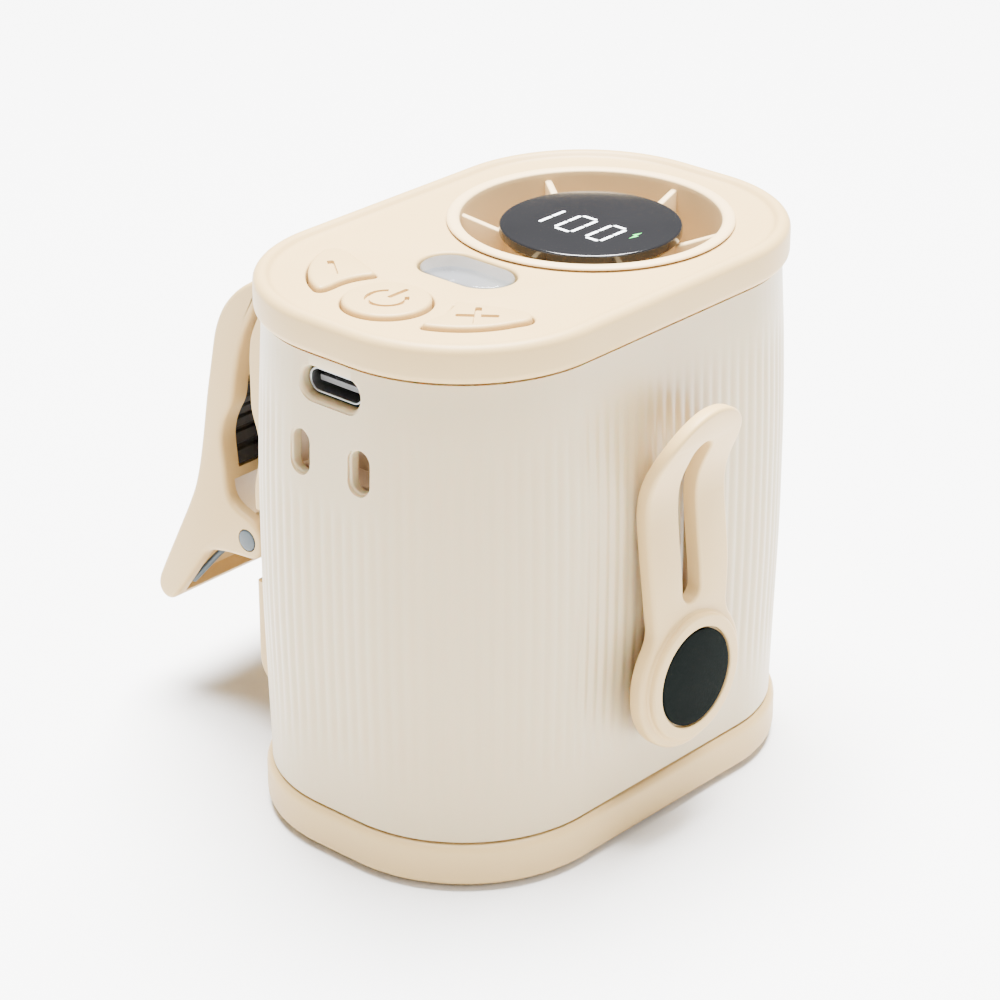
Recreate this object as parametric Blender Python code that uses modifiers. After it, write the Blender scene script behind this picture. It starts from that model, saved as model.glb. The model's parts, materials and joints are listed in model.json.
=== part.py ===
"""Clip-on rechargeable blower: a small fan in a fluted shell, with a belt clip and a spring clamp.

The long axis is X: buttons at -X, fan at +X. The belt clip is on the -Y face, the clamp on +Y.
Z is up and the origin is under the middle foot. Sizes below are in millimetres.
"""

from math import atan2, cos, degrees, pi, radians, sin, sqrt

import bmesh
import bpy
from mathutils import Matrix, Vector

MM = 0.001
GAP = 0.3  # clearance between neighbouring pieces

# Body outline, a rounded rectangle
HALF_LENGTH, HALF_WIDTH, CORNER = 36.06, 24.0, 20.2
CORNER_STEPS = 10

# Heights of the body
BASE_BOTTOM, BASE_TOP = 0.5, 6.4
LID_BOTTOM, LID_TOP = 68.6, 73.5
LID_FLOOR = LID_TOP - 0.7  # sunk top face inside the rim
LID_INSIDE = 70.9
WALL = 1.6

# Fan and outlet
FAN_X = 12.3
OUTLET_RADIUS = 16.7
HUB_RADIUS, HUB_BOTTOM, HUB_TOP = 11.0, 58.0, 70.5
DISPLAY_RADIUS, DISPLAY_BOTTOM, DISPLAY_TOP = 11.7, 71.0, 72.4
VANES = 6
INTAKE_X, INTAKE_RADIUS = 14.3, 11.0
DUCT_BOTTOM, DUCT_TOP, DUCT_WALL = 2.8, 61.4, 1.2
IMPELLER_BOTTOM, IMPELLER_RADIUS = 44.0, 16.2
BLADES = 7
SHAFT_RADIUS = 1.0

# Controls
POWER_X, POWER_RADIUS = -25.3, 5.45
BUTTON_BOTTOM, BUTTON_TOP = 69.9, 73.4
LENS_X, LENS_LENGTH, LENS_WIDTH = -11.0, 13.9, 7.9
SWITCH_PLACES = {"minus": (-21.6, 11.6), "power": (POWER_X, 0.0), "plus": (-21.6, -11.6)}
BOARD_BOTTOM, BOARD_TOP = 66.75, 67.55

# End wall: charging port and strap slots
USB_Z, USB_WIDTH, USB_HEIGHT = 64.8, 8.94, 3.26
SLOT_Y, SLOT_Z, SLOT_WIDTH, SLOT_HEIGHT = 4.9, 55.3, 2.9, 5.5

# Belt clip, turning about Y through its boss
CLIP_Z, CLIP_BOSS, CLIP_HALF, CLIP_TOP = 22.1, 9.9, 7.7, 59.6
CLIP_FACE, CLIP_THICK = -27.9, 2.1
PUCK_RADIUS, PUCK_FACE = 8.5, -28.9

# Spring clamp, hinged about X through its pin
CLAMP_HALF, EAR = 18.5, 1.8
PIN_Y, PIN_Z, PIN_RADIUS = 32.9, 27.8, 1.3
PAD_HALF = 15.4
SPRING_RADIUS, SPRING_WIRE, SPRING_TURNS = 3.6, 0.45, 4


def clear_scene():
    for obj in list(bpy.data.objects):
        bpy.data.objects.remove(obj, do_unlink=True)


def new_collection(name):
    made = bpy.data.collections.new(name)
    bpy.context.scene.collection.children.link(made)
    return made


clear_scene()
PARTS = new_collection("clip_on_blower")
CUTTERS = new_collection("cutters")
CUTTERS.hide_render = True


def material(name, colour, rough, metal=0.0):
    made = bpy.data.materials.get(name) or bpy.data.materials.new(name)
    made.use_nodes = True
    shader = made.node_tree.nodes["Principled BSDF"]
    shader.inputs["Base Color"].default_value = (*colour, 1)
    shader.inputs["Roughness"].default_value = rough
    shader.inputs["Metallic"].default_value = metal
    return made


CREAM = ("cream_plastic", (0.86, 0.76, 0.64), 0.5)
FROSTED = ("frosted_plastic", (0.72, 0.67, 0.58), 0.4)
TAN = ("shaded_plastic", (0.66, 0.56, 0.42), 0.5)
BLACK = ("gloss_black", (0.02, 0.022, 0.022), 0.15)
RUBBER = ("black_rubber", (0.025, 0.023, 0.02), 0.8)
STEEL = ("steel", (0.5, 0.52, 0.54), 0.3, 1.0)
COPPER = ("copper_winding", (0.6, 0.28, 0.12), 0.4, 1.0)
BOARD = ("board_green", (0.03, 0.16, 0.07), 0.5)
CELL = ("cell_wrap", (0.45, 0.5, 0.55), 0.3, 0.6)
CLEAR = ("clear_lens", (0.8, 0.8, 0.8), 0.1)
WHITE = ("white_plastic", (0.8, 0.8, 0.78), 0.4)
RED = ("red_insulation", (0.5, 0.02, 0.02), 0.5)


def place(mesh, name, finish, cutter=False):
    """Puts a mesh in the scene as a part, or as a cutter when it has no finish."""
    obj = bpy.data.objects.new(name, mesh)
    (CUTTERS if cutter else PARTS).objects.link(obj)
    if cutter:
        obj.hide_render = True
        obj.display_type = "WIRE"
    else:
        mesh.materials.clear()
        mesh.materials.append(material(*finish))
        mesh.shade_smooth()
        mesh.set_sharp_from_angle(angle=radians(35))
    return obj


def mesh_from(bm, name):
    bmesh.ops.remove_doubles(bm, verts=bm.verts, dist=1e-7)
    bmesh.ops.recalc_face_normals(bm, faces=bm.faces)
    mesh = bpy.data.meshes.new(name)
    bm.to_mesh(mesh)
    bm.free()
    return mesh


def turned_bm(bm, axis):
    """Turns a mesh made along Z so that it lies along X or Y."""
    turns = {
        "X": Matrix(((0, 0, 1), (1, 0, 0), (0, 1, 0))),
        "Y": Matrix(((0, 1, 0), (0, 0, 1), (1, 0, 0))),
        "Z": Matrix.Identity(3),
    }
    bmesh.ops.transform(bm, matrix=turns[axis].to_4x4(), verts=bm.verts)


def extruded(outline, low, high, axis="Z", round_edges=0.0, steps=2):
    """A flat outline given as (a, b) points, extruded from low to high along the axis.

    Along X the points are (y, z), along Y they are (z, x) and along Z they are (x, y).
    """
    curve = bpy.data.curves.new("outline", "CURVE")
    curve.dimensions = "2D"
    curve.fill_mode = "BOTH"
    curve.extrude = (high - low) / 2 * MM
    spline = curve.splines.new("POLY")
    spline.points.add(len(outline) - 1)
    for point, (a, b) in zip(spline.points, outline):
        point.co = (a * MM, b * MM, 0, 1)
    spline.use_cyclic_u = True
    holder = bpy.data.objects.new("outline", curve)
    CUTTERS.objects.link(holder)
    flat = bpy.data.meshes.new_from_object(holder)
    bpy.data.objects.remove(holder)
    bpy.data.curves.remove(curve)
    bm = bmesh.new()
    bm.from_mesh(flat)
    bpy.data.meshes.remove(flat)
    bmesh.ops.remove_doubles(bm, verts=bm.verts, dist=1e-7)
    bmesh.ops.dissolve_limit(bm, angle_limit=radians(1), verts=bm.verts, edges=bm.edges)
    bmesh.ops.translate(bm, vec=(0, 0, (low + high) / 2 * MM), verts=bm.verts)
    if round_edges:
        rims = [e for e in bm.edges if abs(e.verts[0].co.z - e.verts[1].co.z) < 1e-7]
        bmesh.ops.bevel(bm, geom=rims, offset=round_edges * MM, segments=steps, profile=0.5, affect="EDGES")
    turned_bm(bm, axis)
    return bm


def prism(name, outline, low, high, axis="Z", finish=None, round_edges=0.0, steps=2):
    bm = extruded(outline, low, high, axis, round_edges, steps)
    return place(mesh_from(bm, name), name, finish, cutter=finish is None)


def disc(name, radius, low, high, centre=(0.0, 0.0), axis="Z", finish=None, round_edges=0.0, sides=40):
    outline = circle(centre, radius, sides)
    return prism(name, outline, low, high, axis, finish, round_edges)


def circle(centre, radius, sides=40):
    turns = [2 * pi * i / sides for i in range(sides)]
    return [(centre[0] + radius * cos(t), centre[1] + radius * sin(t)) for t in turns]


def arc(centre, radius, start, end, steps=8):
    """Points on an arc between two angles in degrees."""
    turns = [radians(start + (end - start) * i / steps) for i in range(steps + 1)]
    return [(centre[0] + radius * cos(t), centre[1] + radius * sin(t)) for t in turns]


def body_outline(offset=0.0, steps=CORNER_STEPS):
    """The rounded rectangle of the body, grown by offset."""
    radius = CORNER + offset
    cx, cy = HALF_LENGTH - CORNER, HALF_WIDTH - CORNER
    points = []
    for turn, sx, sy in ((0, 1, 1), (90, -1, 1), (180, -1, -1), (270, 1, -1)):
        points += arc((sx * cx, sy * cy), radius, turn, turn + 90, steps)
    return points


def rounded_box(width, height, radius, centre=(0.0, 0.0), steps=5):
    cx, cy = width / 2 - radius, height / 2 - radius
    points = []
    for turn, sx, sy in ((0, 1, 1), (90, -1, 1), (180, -1, -1), (270, 1, -1)):
        points += arc((centre[0] + sx * cx, centre[1] + sy * cy), radius, turn, turn + 90, steps)
    return points


def pill(width, height, centre=(0.0, 0.0), steps=8):
    return rounded_box(width, height, min(width, height) / 2 - 0.001, centre, steps)


def block(name, low, high, finish=None):
    bm = bmesh.new()
    bmesh.ops.create_cube(bm, size=1)
    size = [(b - a) * MM for a, b in zip(low, high)]
    middle = [(a + b) / 2 * MM for a, b in zip(low, high)]
    bmesh.ops.scale(bm, vec=size, verts=bm.verts)
    bmesh.ops.translate(bm, vec=middle, verts=bm.verts)
    return place(mesh_from(bm, name), name, finish, cutter=finish is None)


def boolean(obj, other, operation="DIFFERENCE"):
    """Applies the boolean at once, and removes the other object."""
    modifier = obj.modifiers.new(other.name, "BOOLEAN")
    modifier.operation = operation
    modifier.object = other
    modifier.solver = "EXACT"
    bpy.context.view_layer.update()
    graph = bpy.context.evaluated_depsgraph_get()
    mesh = bpy.data.meshes.new_from_object(obj.evaluated_get(graph))
    obj.modifiers.clear()
    old = obj.data
    obj.data = mesh
    mesh.name = obj.name
    bpy.data.meshes.remove(old)
    bpy.data.objects.remove(other, do_unlink=True)
    return obj


def cut(obj, *cutters):
    for cutter in cutters:
        boolean(obj, cutter)
    return obj


def join(obj, *others):
    for other in others:
        boolean(obj, other, "UNION")
    return obj


def turned(name, profile, centre, finish, steps=40):
    """A closed (radius, z) profile swept round the vertical line through centre."""
    bm = bmesh.new()
    verts = [bm.verts.new((r * MM, 0, z * MM)) for r, z in profile]
    edges = [bm.edges.new((a, b)) for a, b in zip(verts, verts[1:] + verts[:1])]
    bmesh.ops.spin(
        bm, geom=verts + edges, cent=(0, 0, 0), axis=(0, 0, 1), angle=2 * pi, steps=steps, use_merge=True
    )
    bmesh.ops.translate(bm, vec=(centre[0] * MM, centre[1] * MM, 0), verts=bm.verts)
    return place(mesh_from(bm, name), name, finish, cutter=finish is None)


def set_origin(obj, point):
    """Moves the object's origin to a point on its joint axis, leaving the shape where it is."""
    offset = Vector(point) * MM
    obj.data.transform(Matrix.Translation(-offset))
    obj.location = offset


def tube(name, route, radius, finish, resolution=2):
    """A wire along points in millimetres, with closed ends."""
    curve = bpy.data.curves.new(name, "CURVE")
    curve.dimensions = "3D"
    curve.bevel_depth = radius * MM
    curve.bevel_resolution = resolution
    curve.use_fill_caps = True
    spline = curve.splines.new("POLY")
    spline.points.add(len(route) - 1)
    for point, (x, y, z) in zip(spline.points, route):
        point.co = (x * MM, y * MM, z * MM, 1)
    obj = bpy.data.objects.new(name, curve)
    PARTS.objects.link(obj)
    curve.materials.append(material(*finish))
    return obj


# Housing


def shell_bulge(z):
    """How far the barrel-shaped wall stands from the body outline at a height."""
    stations = ((6.4, -0.7), (14, -0.5), (23, -0.25), (30, 0.0), (49, 0.0), (60, -0.45), (68.6, -1.0))
    for (z0, a), (z1, b) in zip(stations, stations[1:]):
        if z <= z1:
            return a + (b - a) * (z - z0) / (z1 - z0)
    return stations[-1][1]


def lofted_wall(name, heights, finish):
    """The open barrel wall, one ring of the outline at each height, thickened inwards."""
    bm = bmesh.new()
    rings = []
    for z in heights:
        points = body_outline(shell_bulge(z))
        rings.append([bm.verts.new((x * MM, y * MM, z * MM)) for x, y in points])
    for lower, upper in zip(rings, rings[1:]):
        for i in range(len(lower)):
            j = (i + 1) % len(lower)
            bm.faces.new((lower[i], lower[j], upper[j], upper[i]))
    obj = place(mesh_from(bm, name), name, finish)
    solid = obj.modifiers.new("wall", "SOLIDIFY")
    solid.thickness = WALL * MM
    solid.offset = -1
    return obj


def make_shell():
    heights = (BASE_TOP + GAP, 14, 23, 30, 49, 60, LID_BOTTOM - GAP)
    shell = lofted_wall("shell", heights, FROSTED)
    end = (-HALF_LENGTH - 5, -HALF_LENGTH + 5)
    cut(
        shell,
        prism("port_hole", pill(9.6, 3.92, (0, USB_Z)), *end, axis="X"),
        prism("slot_hole_a", rounded_box(SLOT_WIDTH, SLOT_HEIGHT, 1.4, (-SLOT_Y, SLOT_Z)), *end, axis="X"),
        prism("slot_hole_b", rounded_box(SLOT_WIDTH, SLOT_HEIGHT, 1.4, (SLOT_Y, SLOT_Z)), *end, axis="X"),
        disc("post_hole", 2.4, -28, -20, (CLIP_Z, 0), "Y", sides=20),
        disc("screw_hole_a", 1.6, 20, 28, (14, 0), "Y", sides=16),
        disc("screw_hole_b", 1.6, 20, 28, (52, 0), "Y", sides=16),
    )
    return shell


def make_lid():
    lid = prism("lid", body_outline(), LID_BOTTOM, LID_TOP, finish=CREAM, round_edges=1.0)
    cut(
        lid,
        prism("lid_sink", body_outline(-1.9), LID_FLOOR, LID_TOP + 2),
        prism("lid_hollow", body_outline(-2.4), LID_BOTTOM - 2, LID_INSIDE),
        disc("outlet_hole", OUTLET_RADIUS + 1.5, LID_BOTTOM - 2, LID_TOP + 2, (FAN_X, 0), sides=48),
        prism("lens_hole", pill(LENS_WIDTH, LENS_LENGTH, (LENS_X, 0)), LID_INSIDE - 2, LID_TOP + 2),
        disc("power_hole", POWER_RADIUS + GAP, LID_INSIDE - 2, LID_TOP + 2, (POWER_X, 0)),
    )
    for side in (1, -1):
        hole = prism("side_button_hole", side_button_outline(side, GAP), LID_INSIDE - 2, LID_TOP + 2)
        cut(lid, hole)
    return lid


def side_button_outline(side, grow=0.0):
    """The minus (side 1) or plus (side -1) key: it curves round the power key and along the lid's edge."""
    inner = arc((POWER_X, 0), 8.3 - grow, 52 - 10 * grow, 101, 6)
    outer = arc((-15.86, 3.8), 13.4 + grow, 160 + 6 * grow, 108, 6)
    far = arc((-18.9, 15.2), 1.9 + grow, 100, -10, 5)
    points = [(x, side * y) for x, y in inner + outer + far]
    return points if side > 0 else points[::-1]


def make_base():
    outline = body_outline(0.08)
    base = prism("base_plate", outline, BASE_BOTTOM, BASE_TOP, finish=CREAM, round_edges=1.3, steps=3)
    cut(
        base,
        prism("base_hollow", body_outline(-2.0), BASE_BOTTOM + 2, BASE_TOP + 2),
        disc("intake_hole", INTAKE_RADIUS + GAP, -1, 5, (INTAKE_X, 0), sides=36),
    )
    for x, length in FEET.values():
        pocket = pill(4 + 2 * GAP, length + 2 * GAP, (x, 0), 4)
        cut(base, prism("foot_pocket", pocket, -1, BASE_BOTTOM + 0.9))
    for i, (x, y) in enumerate(SCREW_PLACES):
        cut(
            base,
            disc(f"screw_bore_{i}", 1.3, -1, 5, (x, y), sides=12),
            disc(f"screw_sink_{i}", 2.1, -1, BASE_BOTTOM + 1.2, (x, y), sides=16),
        )
    return base


FEET = {"foot_rear": (-27.5, 18.0), "foot_middle": (0.0, 26.0), "foot_front": (30.2, 15.0)}
SCREW_PLACES = [(x, side * y) for x, y in ((-20.0, 17.5), (27.0, 14.0)) for side in (-1, 1)]


def make_feet():
    for name, (x, length) in FEET.items():
        prism(name, pill(4, length, (x, 0), 4), 0, BASE_BOTTOM + 0.6, finish=RUBBER)


def make_base_screws():
    for i, (x, y) in enumerate(SCREW_PLACES):
        head = disc(f"base_screw_{i + 1}", 1.8, 0.75, 1.4, (x, y), finish=STEEL, sides=16)
        join(head, disc("shank", 0.95, 1.2, 8.2, (x, y), sides=10))
        cut(head, block("cross_a", (x - 1, y - 0.22, 0.4), (x + 1, y + 0.22, 1.0)))


def make_intake_grille():
    """Rings on spokes across the air inlet in the underside."""
    low, high = BASE_BOTTOM + 0.4, BASE_BOTTOM + 1.8
    outer, inner = INTAKE_RADIUS, INTAKE_RADIUS - 1.2
    rim = ((outer, low), (outer, high), (inner, high), (inner, low))
    grille = turned("intake_grille", rim, (INTAKE_X, 0), CREAM, 32)
    for turn in range(3):
        bar = block("bar", (-INTAKE_RADIUS + 0.5, -0.5, low + 0.1), (INTAKE_RADIUS - 0.5, 0.5, high - 0.1))
        bar.data.transform(Matrix.Rotation(turn * pi / 3, 4, "Z"))
        bar.data.transform(Matrix.Translation((INTAKE_X * MM, 0, 0)))
        join(grille, bar)
    for radius in (3.4, 6.8):
        band = ((radius, low), (radius, high), (radius - 0.9, high), (radius - 0.9, low))
        join(grille, turned("band", band, (INTAKE_X, 0), None, 24))
    return grille


def make_chassis():
    """The inner deck that carries the cells, screwed to the base."""
    chassis = prism("chassis", body_outline(-3.0), 7.0, 8.4, finish=WHITE)
    cut(chassis, disc("duct_hole", OUTLET_RADIUS + DUCT_WALL + 0.6, 5, 10, (FAN_X, 0), sides=36))
    for x, y in SCREW_PLACES:
        cut(chassis, disc("screw_bore", 1.3, 5, 10, (x, y), sides=12))
    return chassis


def make_duct():
    inner, outer = OUTLET_RADIUS + 0.1, OUTLET_RADIUS + DUCT_WALL
    profile = ((outer, DUCT_BOTTOM), (outer, DUCT_TOP), (inner, DUCT_TOP), (inner, DUCT_BOTTOM))
    return turned("fan_duct", profile, (FAN_X, 0), TAN, 44)


# Air outlet, fan and display


def make_outlet_grille():
    inner, outer = OUTLET_RADIUS, OUTLET_RADIUS + 1.2
    bead, low = LID_FLOOR + GAP, DUCT_TOP + GAP
    profile = [(outer, low), (outer, bead), (outer + 0.6, bead)]
    profile += [(outer + 0.5, bead + 0.2), (outer + 0.1, bead + 0.36), (inner + 0.55, bead + 0.38)]
    profile += [(inner + 0.1, bead + 0.15), (inner, bead - 0.3), (inner, low)]
    grille = turned("outlet_grille", profile, (FAN_X, 0), CREAM, 48)
    hub = [(HUB_RADIUS, HUB_BOTTOM), (HUB_RADIUS, HUB_TOP - 0.4), (HUB_RADIUS - 0.4, HUB_TOP)]
    hub += [(HUB_RADIUS - 1.4, HUB_TOP), (HUB_RADIUS - 1.4, 68.6), (0.8, 68.6), (0.8, 67.4)]
    hub += [(HUB_RADIUS - 1.8, 67.4), (HUB_RADIUS - 1.8, HUB_BOTTOM)]
    join(grille, turned("hub", hub, (FAN_X, 0), None, 40))
    side = [(HUB_RADIUS - 0.8, 62.5), (inner + 0.6, 62.5), (inner + 0.6, 72.5), (HUB_RADIUS - 0.8, 70.0)]
    for i in range(VANES):
        bm = extruded(side, -0.55, 0.55)
        bmesh.ops.rotate(bm, cent=(0, 0, 0), matrix=Matrix.Rotation(pi / 2, 3, "X"), verts=bm.verts)
        turn = Matrix.Rotation(i * 2 * pi / VANES, 3, "Z")
        bmesh.ops.rotate(bm, cent=(0, 0, 0), matrix=turn, verts=bm.verts)
        bmesh.ops.translate(bm, vec=(FAN_X * MM, 0, 0), verts=bm.verts)
        join(grille, place(mesh_from(bm, "vane"), "vane", None, cutter=True))
    return grille


def make_display():
    heights = DISPLAY_BOTTOM, DISPLAY_TOP
    disc("display_lens", DISPLAY_RADIUS, *heights, (FAN_X, 0), finish=BLACK, round_edges=0.25, sides=48)
    disc("display_board", 9.2, 69.0, 70.2, (FAN_X, 0), finish=BOARD, sides=24)


def ring(name, outer, inner, low, high, finish, sides=24):
    profile = ((outer, low), (outer, high), (inner, high), (inner, low))
    return turned(name, profile, (FAN_X, 0), finish, sides)


def make_motor():
    ring("motor_stator", 8.8, 3.6, 58.4, 67.0, COPPER, 28)
    ring("bearing_lower", 3.2, SHAFT_RADIUS + GAP, 58.7, 60.7, STEEL)
    ring("bearing_upper", 3.2, SHAFT_RADIUS + GAP, 64.8, 66.8, STEEL)


def make_rotor():
    rotor = ring("motor_rotor", 3.2, SHAFT_RADIUS + GAP, 61.1, 64.4, STEEL)
    shaft = disc("shaft", SHAFT_RADIUS, 43.0, 66.9, (FAN_X, 0), finish=STEEL, sides=12)
    profile = [(7.6, IMPELLER_BOTTOM + 1), (7.6, 55.2), (1.3, 55.2), (1.3, IMPELLER_BOTTOM - 0.8)]
    profile += [(3.0, IMPELLER_BOTTOM - 0.8), (6.2, IMPELLER_BOTTOM)]
    impeller = turned("impeller", profile, (FAN_X, 0), WHITE, 32)
    for i in range(BLADES):
        join(impeller, blade(i * 2 * pi / BLADES))
    for obj in (rotor, shaft, impeller):
        set_origin(obj, (FAN_X, 0, 50))


def blade(turn):
    """One twisted fan blade, steeper at the hub than at the tip."""
    bm = bmesh.new()
    bmesh.ops.create_grid(bm, x_segments=5, y_segments=5, size=0.5)
    for vert in bm.verts:
        across, along = vert.co.x + 0.5, vert.co.y
        radius = 6.9 + (IMPELLER_RADIUS - 6.9) * across
        pitch = radians(52 - 22 * across)
        chord = 9.5 + 1.5 * across
        swing = chord * along * cos(pitch) / radius
        height = 50 + chord * along * sin(pitch)
        vert.co = (radius * cos(swing) * MM, radius * sin(swing) * MM, height * MM)
    bmesh.ops.recalc_face_normals(bm, faces=bm.faces)
    bmesh.ops.solidify(bm, geom=bm.faces[:], thickness=0.9 * MM)
    bmesh.ops.rotate(bm, cent=(0, 0, 0), matrix=Matrix.Rotation(turn, 3, "Z"), verts=bm.verts)
    bmesh.ops.translate(bm, vec=(FAN_X * MM, 0, 0), verts=bm.verts)
    return place(mesh_from(bm, "blade"), "blade", None, cutter=True)


# Controls and electronics


def make_buttons():
    power = disc(
        "button_power", POWER_RADIUS, BUTTON_BOTTOM, BUTTON_TOP, (POWER_X, 0), finish=CREAM, round_edges=0.35
    )
    join(power, disc("flange", POWER_RADIUS + 0.9, BUTTON_BOTTOM, 70.5, (POWER_X, 0)))
    set_origin(power, (POWER_X, 0, BUTTON_BOTTOM))
    for name, side in (("minus", 1), ("plus", -1)):
        outline = side_button_outline(side)
        key = prism(f"button_{name}", outline, BUTTON_BOTTOM, BUTTON_TOP, finish=CREAM, round_edges=0.3)
        join(key, prism("flange", side_button_outline(side, 0.6), BUTTON_BOTTOM, 70.5))
        set_origin(key, (*SWITCH_PLACES[name], BUTTON_BOTTOM))


def make_electronics():
    board = prism("main_board", body_outline(-3.2), BOARD_BOTTOM, BOARD_TOP, finish=BOARD)
    cut(board, disc("fan_gap", OUTLET_RADIUS + 2.4, 60, 70, (FAN_X, 0), sides=36))
    cut(board, block("front_half", (FAN_X - 10, -30, 60), (40, 30, 70)))
    for name, (x, y) in SWITCH_PLACES.items():
        switch = block(f"switch_{name}", (x - 2, y - 2, BOARD_TOP + GAP), (x + 2, y + 2, 68.9), STEEL)
        join(switch, disc("plunger", 1.0, 68.7, 69.3, (x, y), sides=12))
    disc_low = BOARD_TOP + GAP
    reflector = prism("led_reflector", pill(9.0, 15.0, (LENS_X, 0)), disc_low, 70.1, finish=WHITE)
    cut(reflector, prism("cup", pill(6.6, 12.6, (LENS_X, 0)), disc_low + 0.6, 72))
    block("led_chip", (LENS_X - 1.4, -1.4, disc_low + 0.9), (LENS_X + 1.4, 1.4, disc_low + 1.6), RED)
    window = pill(LENS_WIDTH - 2 * GAP, LENS_LENGTH - 2 * GAP, (LENS_X, 0))
    prism("led_lens", window, 70.4, 72.7, finish=CLEAR)


def make_port():
    front, back = -34.2, -27.4
    body = prism("usb_receptacle", pill(USB_WIDTH, USB_HEIGHT, (0, USB_Z)), front, back, "X", STEEL)
    cut(body, prism("mouth", pill(8.34, 2.56, (0, USB_Z)), front - 1, back - 0.5, "X"))
    block("usb_tongue", (front + 0.8, -3.35, USB_Z - 0.35), (back - 0.8, 3.35, USB_Z + 0.35), BLACK)


def make_strap_pocket():
    """The open box behind the two strap slots."""
    low = (-33.1, -8.2, 51.4)
    high = (-28.6, 8.2, 59.2)
    pocket = block("strap_pocket", low, high, TAN)
    return cut(pocket, block("inside", (-40, -7.2, 52.2), (-29.6, 7.2, 58.4)))


def make_cells():
    for name, low, high, half in (("a", -17.3, -7.4, 17.0), ("b", -27.9, -17.7, 15.0)):
        outline = rounded_box(high - low, 2 * half, 2.2, ((low + high) / 2, 0), 3)
        prism(f"battery_cell_{name}", outline, 8.8, 58.6, finish=CELL)
    for name, y, finish in (("red", 4.0, RED), ("black", -4.0, RUBBER)):
        route = [(-12.0 - 4 * sin(t * pi / 8), y, 59.3 + t * 0.85) for t in range(9)]
        tube(f"battery_lead_{name}", route, 0.6, finish)


# Belt clip


def clip_outline(steps=10):
    """The paddle in (z, x): a round boss below, a waist, then a parallel arm with a round end."""
    waist = 14.5
    meet = sqrt(CLIP_BOSS**2 - 6.9**2)
    side = [(CLIP_Z + meet, 6.9), (CLIP_Z + meet + 4, 7.35), (CLIP_Z + waist, CLIP_HALF - 0.1)]
    tip = arc((CLIP_TOP - CLIP_HALF, 0), CLIP_HALF, 90, -90, steps)
    start = degrees(atan2(6.9, meet))
    boss = arc((CLIP_Z, 0), CLIP_BOSS, -start, start - 360, 2 * steps)
    return side + tip + [(z, -x) for z, x in side[::-1]] + boss[1:-1]


def clip_lean(z):
    """How far the arm stands out (-Y) from the boss face at a height; it dips to the body, then flares."""
    stations = (
        (30, 0.0), (36, 0.25), (41.2, 0.85), (45.6, 1.3), (48, 1.25), (50.2, 0.7), (54, -1.2),
        (57.5, -2.8), (60, -3.4),
    )
    if z <= stations[0][0]:
        return 0.0
    for (z0, a), (z1, b) in zip(stations, stations[1:]):
        if z <= z1:
            return a + (b - a) * (z - z0) / (z1 - z0)
    return stations[-1][1]


def make_belt_clip():
    low, high = CLIP_FACE, CLIP_FACE + CLIP_THICK
    clip = prism("belt_clip", clip_outline(), low, high, "Y", CREAM)
    bm = bmesh.new()
    bm.from_mesh(clip.data)
    for z in (32, 36, 38.6, 41.2, 43.4, 45.6, 48, 50.2, 52, 54, 56, 58):
        bmesh.ops.bisect_plane(
            bm, geom=bm.verts[:] + bm.edges[:] + bm.faces[:], plane_co=(0, 0, z * MM), plane_no=(0, 0, 1)
        )
    for vert in bm.verts:
        vert.co.y += clip_lean(vert.co.z / MM) * MM
    bmesh.ops.triangulate(bm, faces=bm.faces[:])
    bm.to_mesh(clip.data)
    bm.free()
    cut(clip, prism("slot", pill(22.4, 3.4, (43.6, 0), 5), low - 4, high + 4, "Y"))
    join(clip, disc("puck", PUCK_RADIUS, PUCK_FACE, low + 0.5, (CLIP_Z, 0), "Y", round_edges=0.25))
    cut(
        clip,
        disc("disc_pocket", 6.8, PUCK_FACE - 1, PUCK_FACE + 0.8, (CLIP_Z, 0), "Y"),
        disc("head_pocket", 4.0, PUCK_FACE - 1, high - 0.8, (CLIP_Z, 0), "Y", sides=24),
        disc("bore", 2.3, PUCK_FACE - 1, high + 1, (CLIP_Z, 0), "Y", sides=20),
    )
    cap = disc("clip_disc", 6.5, PUCK_FACE + 0.1, PUCK_FACE + 0.5, (CLIP_Z, 0), "Y", BLACK)
    for obj in (clip, cap):
        set_origin(obj, (0, high, CLIP_Z))
    post = disc("clip_post", 2.0, high - 1.2, -19.6, (CLIP_Z, 0), "Y", STEEL, sides=20)
    join(post, disc("head", 3.6, PUCK_FACE + 1.0, high - 1.1, (CLIP_Z, 0), "Y", sides=24))
    washer = disc("clip_washer", 4.4, -25.5, -24.2, (CLIP_Z, 0), "Y", RUBBER, sides=24)
    cut(washer, disc("hole", 2.3, -27, -22, (CLIP_Z, 0), "Y", sides=20))
    nut = disc("clip_nut", 3.4, -21.7, -19.9, (CLIP_Z, 0), "Y", STEEL, sides=6)
    cut(nut, disc("hole", 2.3, -23, -18, (CLIP_Z, 0), "Y", sides=20))


# Spring clamp, side profiles in (y, z)

LEVER_OUTER = [
    (28.3, 66.0), (30.3, 65.5), (33.3, 63.5), (35.5, 61.3), (36.9, 59.2), (38.0, 56.4), (38.7, 52.9),
    (39.9, 47.0), (41.0, 40.4), (41.8, 36.3), (42.8, 32.7), (44.4, 29.2), (47.0, 24.1), (49.7, 18.8),
    (51.0, 16.0), (50.8, 14.5), (49.7, 13.6), (48.2, 13.6),
]
LEVER_INNER = [
    (40.8, 23.8), (37.4, 24.6), (34.4, 24.9), (31.8, 25.1), (30.4, 26.2), (30.0, 27.8), (30.4, 29.6),
    (31.8, 30.9), (33.6, 31.4), (35.4, 31.9), (36.6, 33.2), (37.0, 38.0), (37.4, 41.0), (37.1, 42.9),
    (36.3, 44.9), (35.0, 46.9), (34.4, 50.5), (33.7, 53.7), (32.8, 56.6), (31.8, 58.9), (30.2, 61.8),
    (29.0, 64.0),
]
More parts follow.
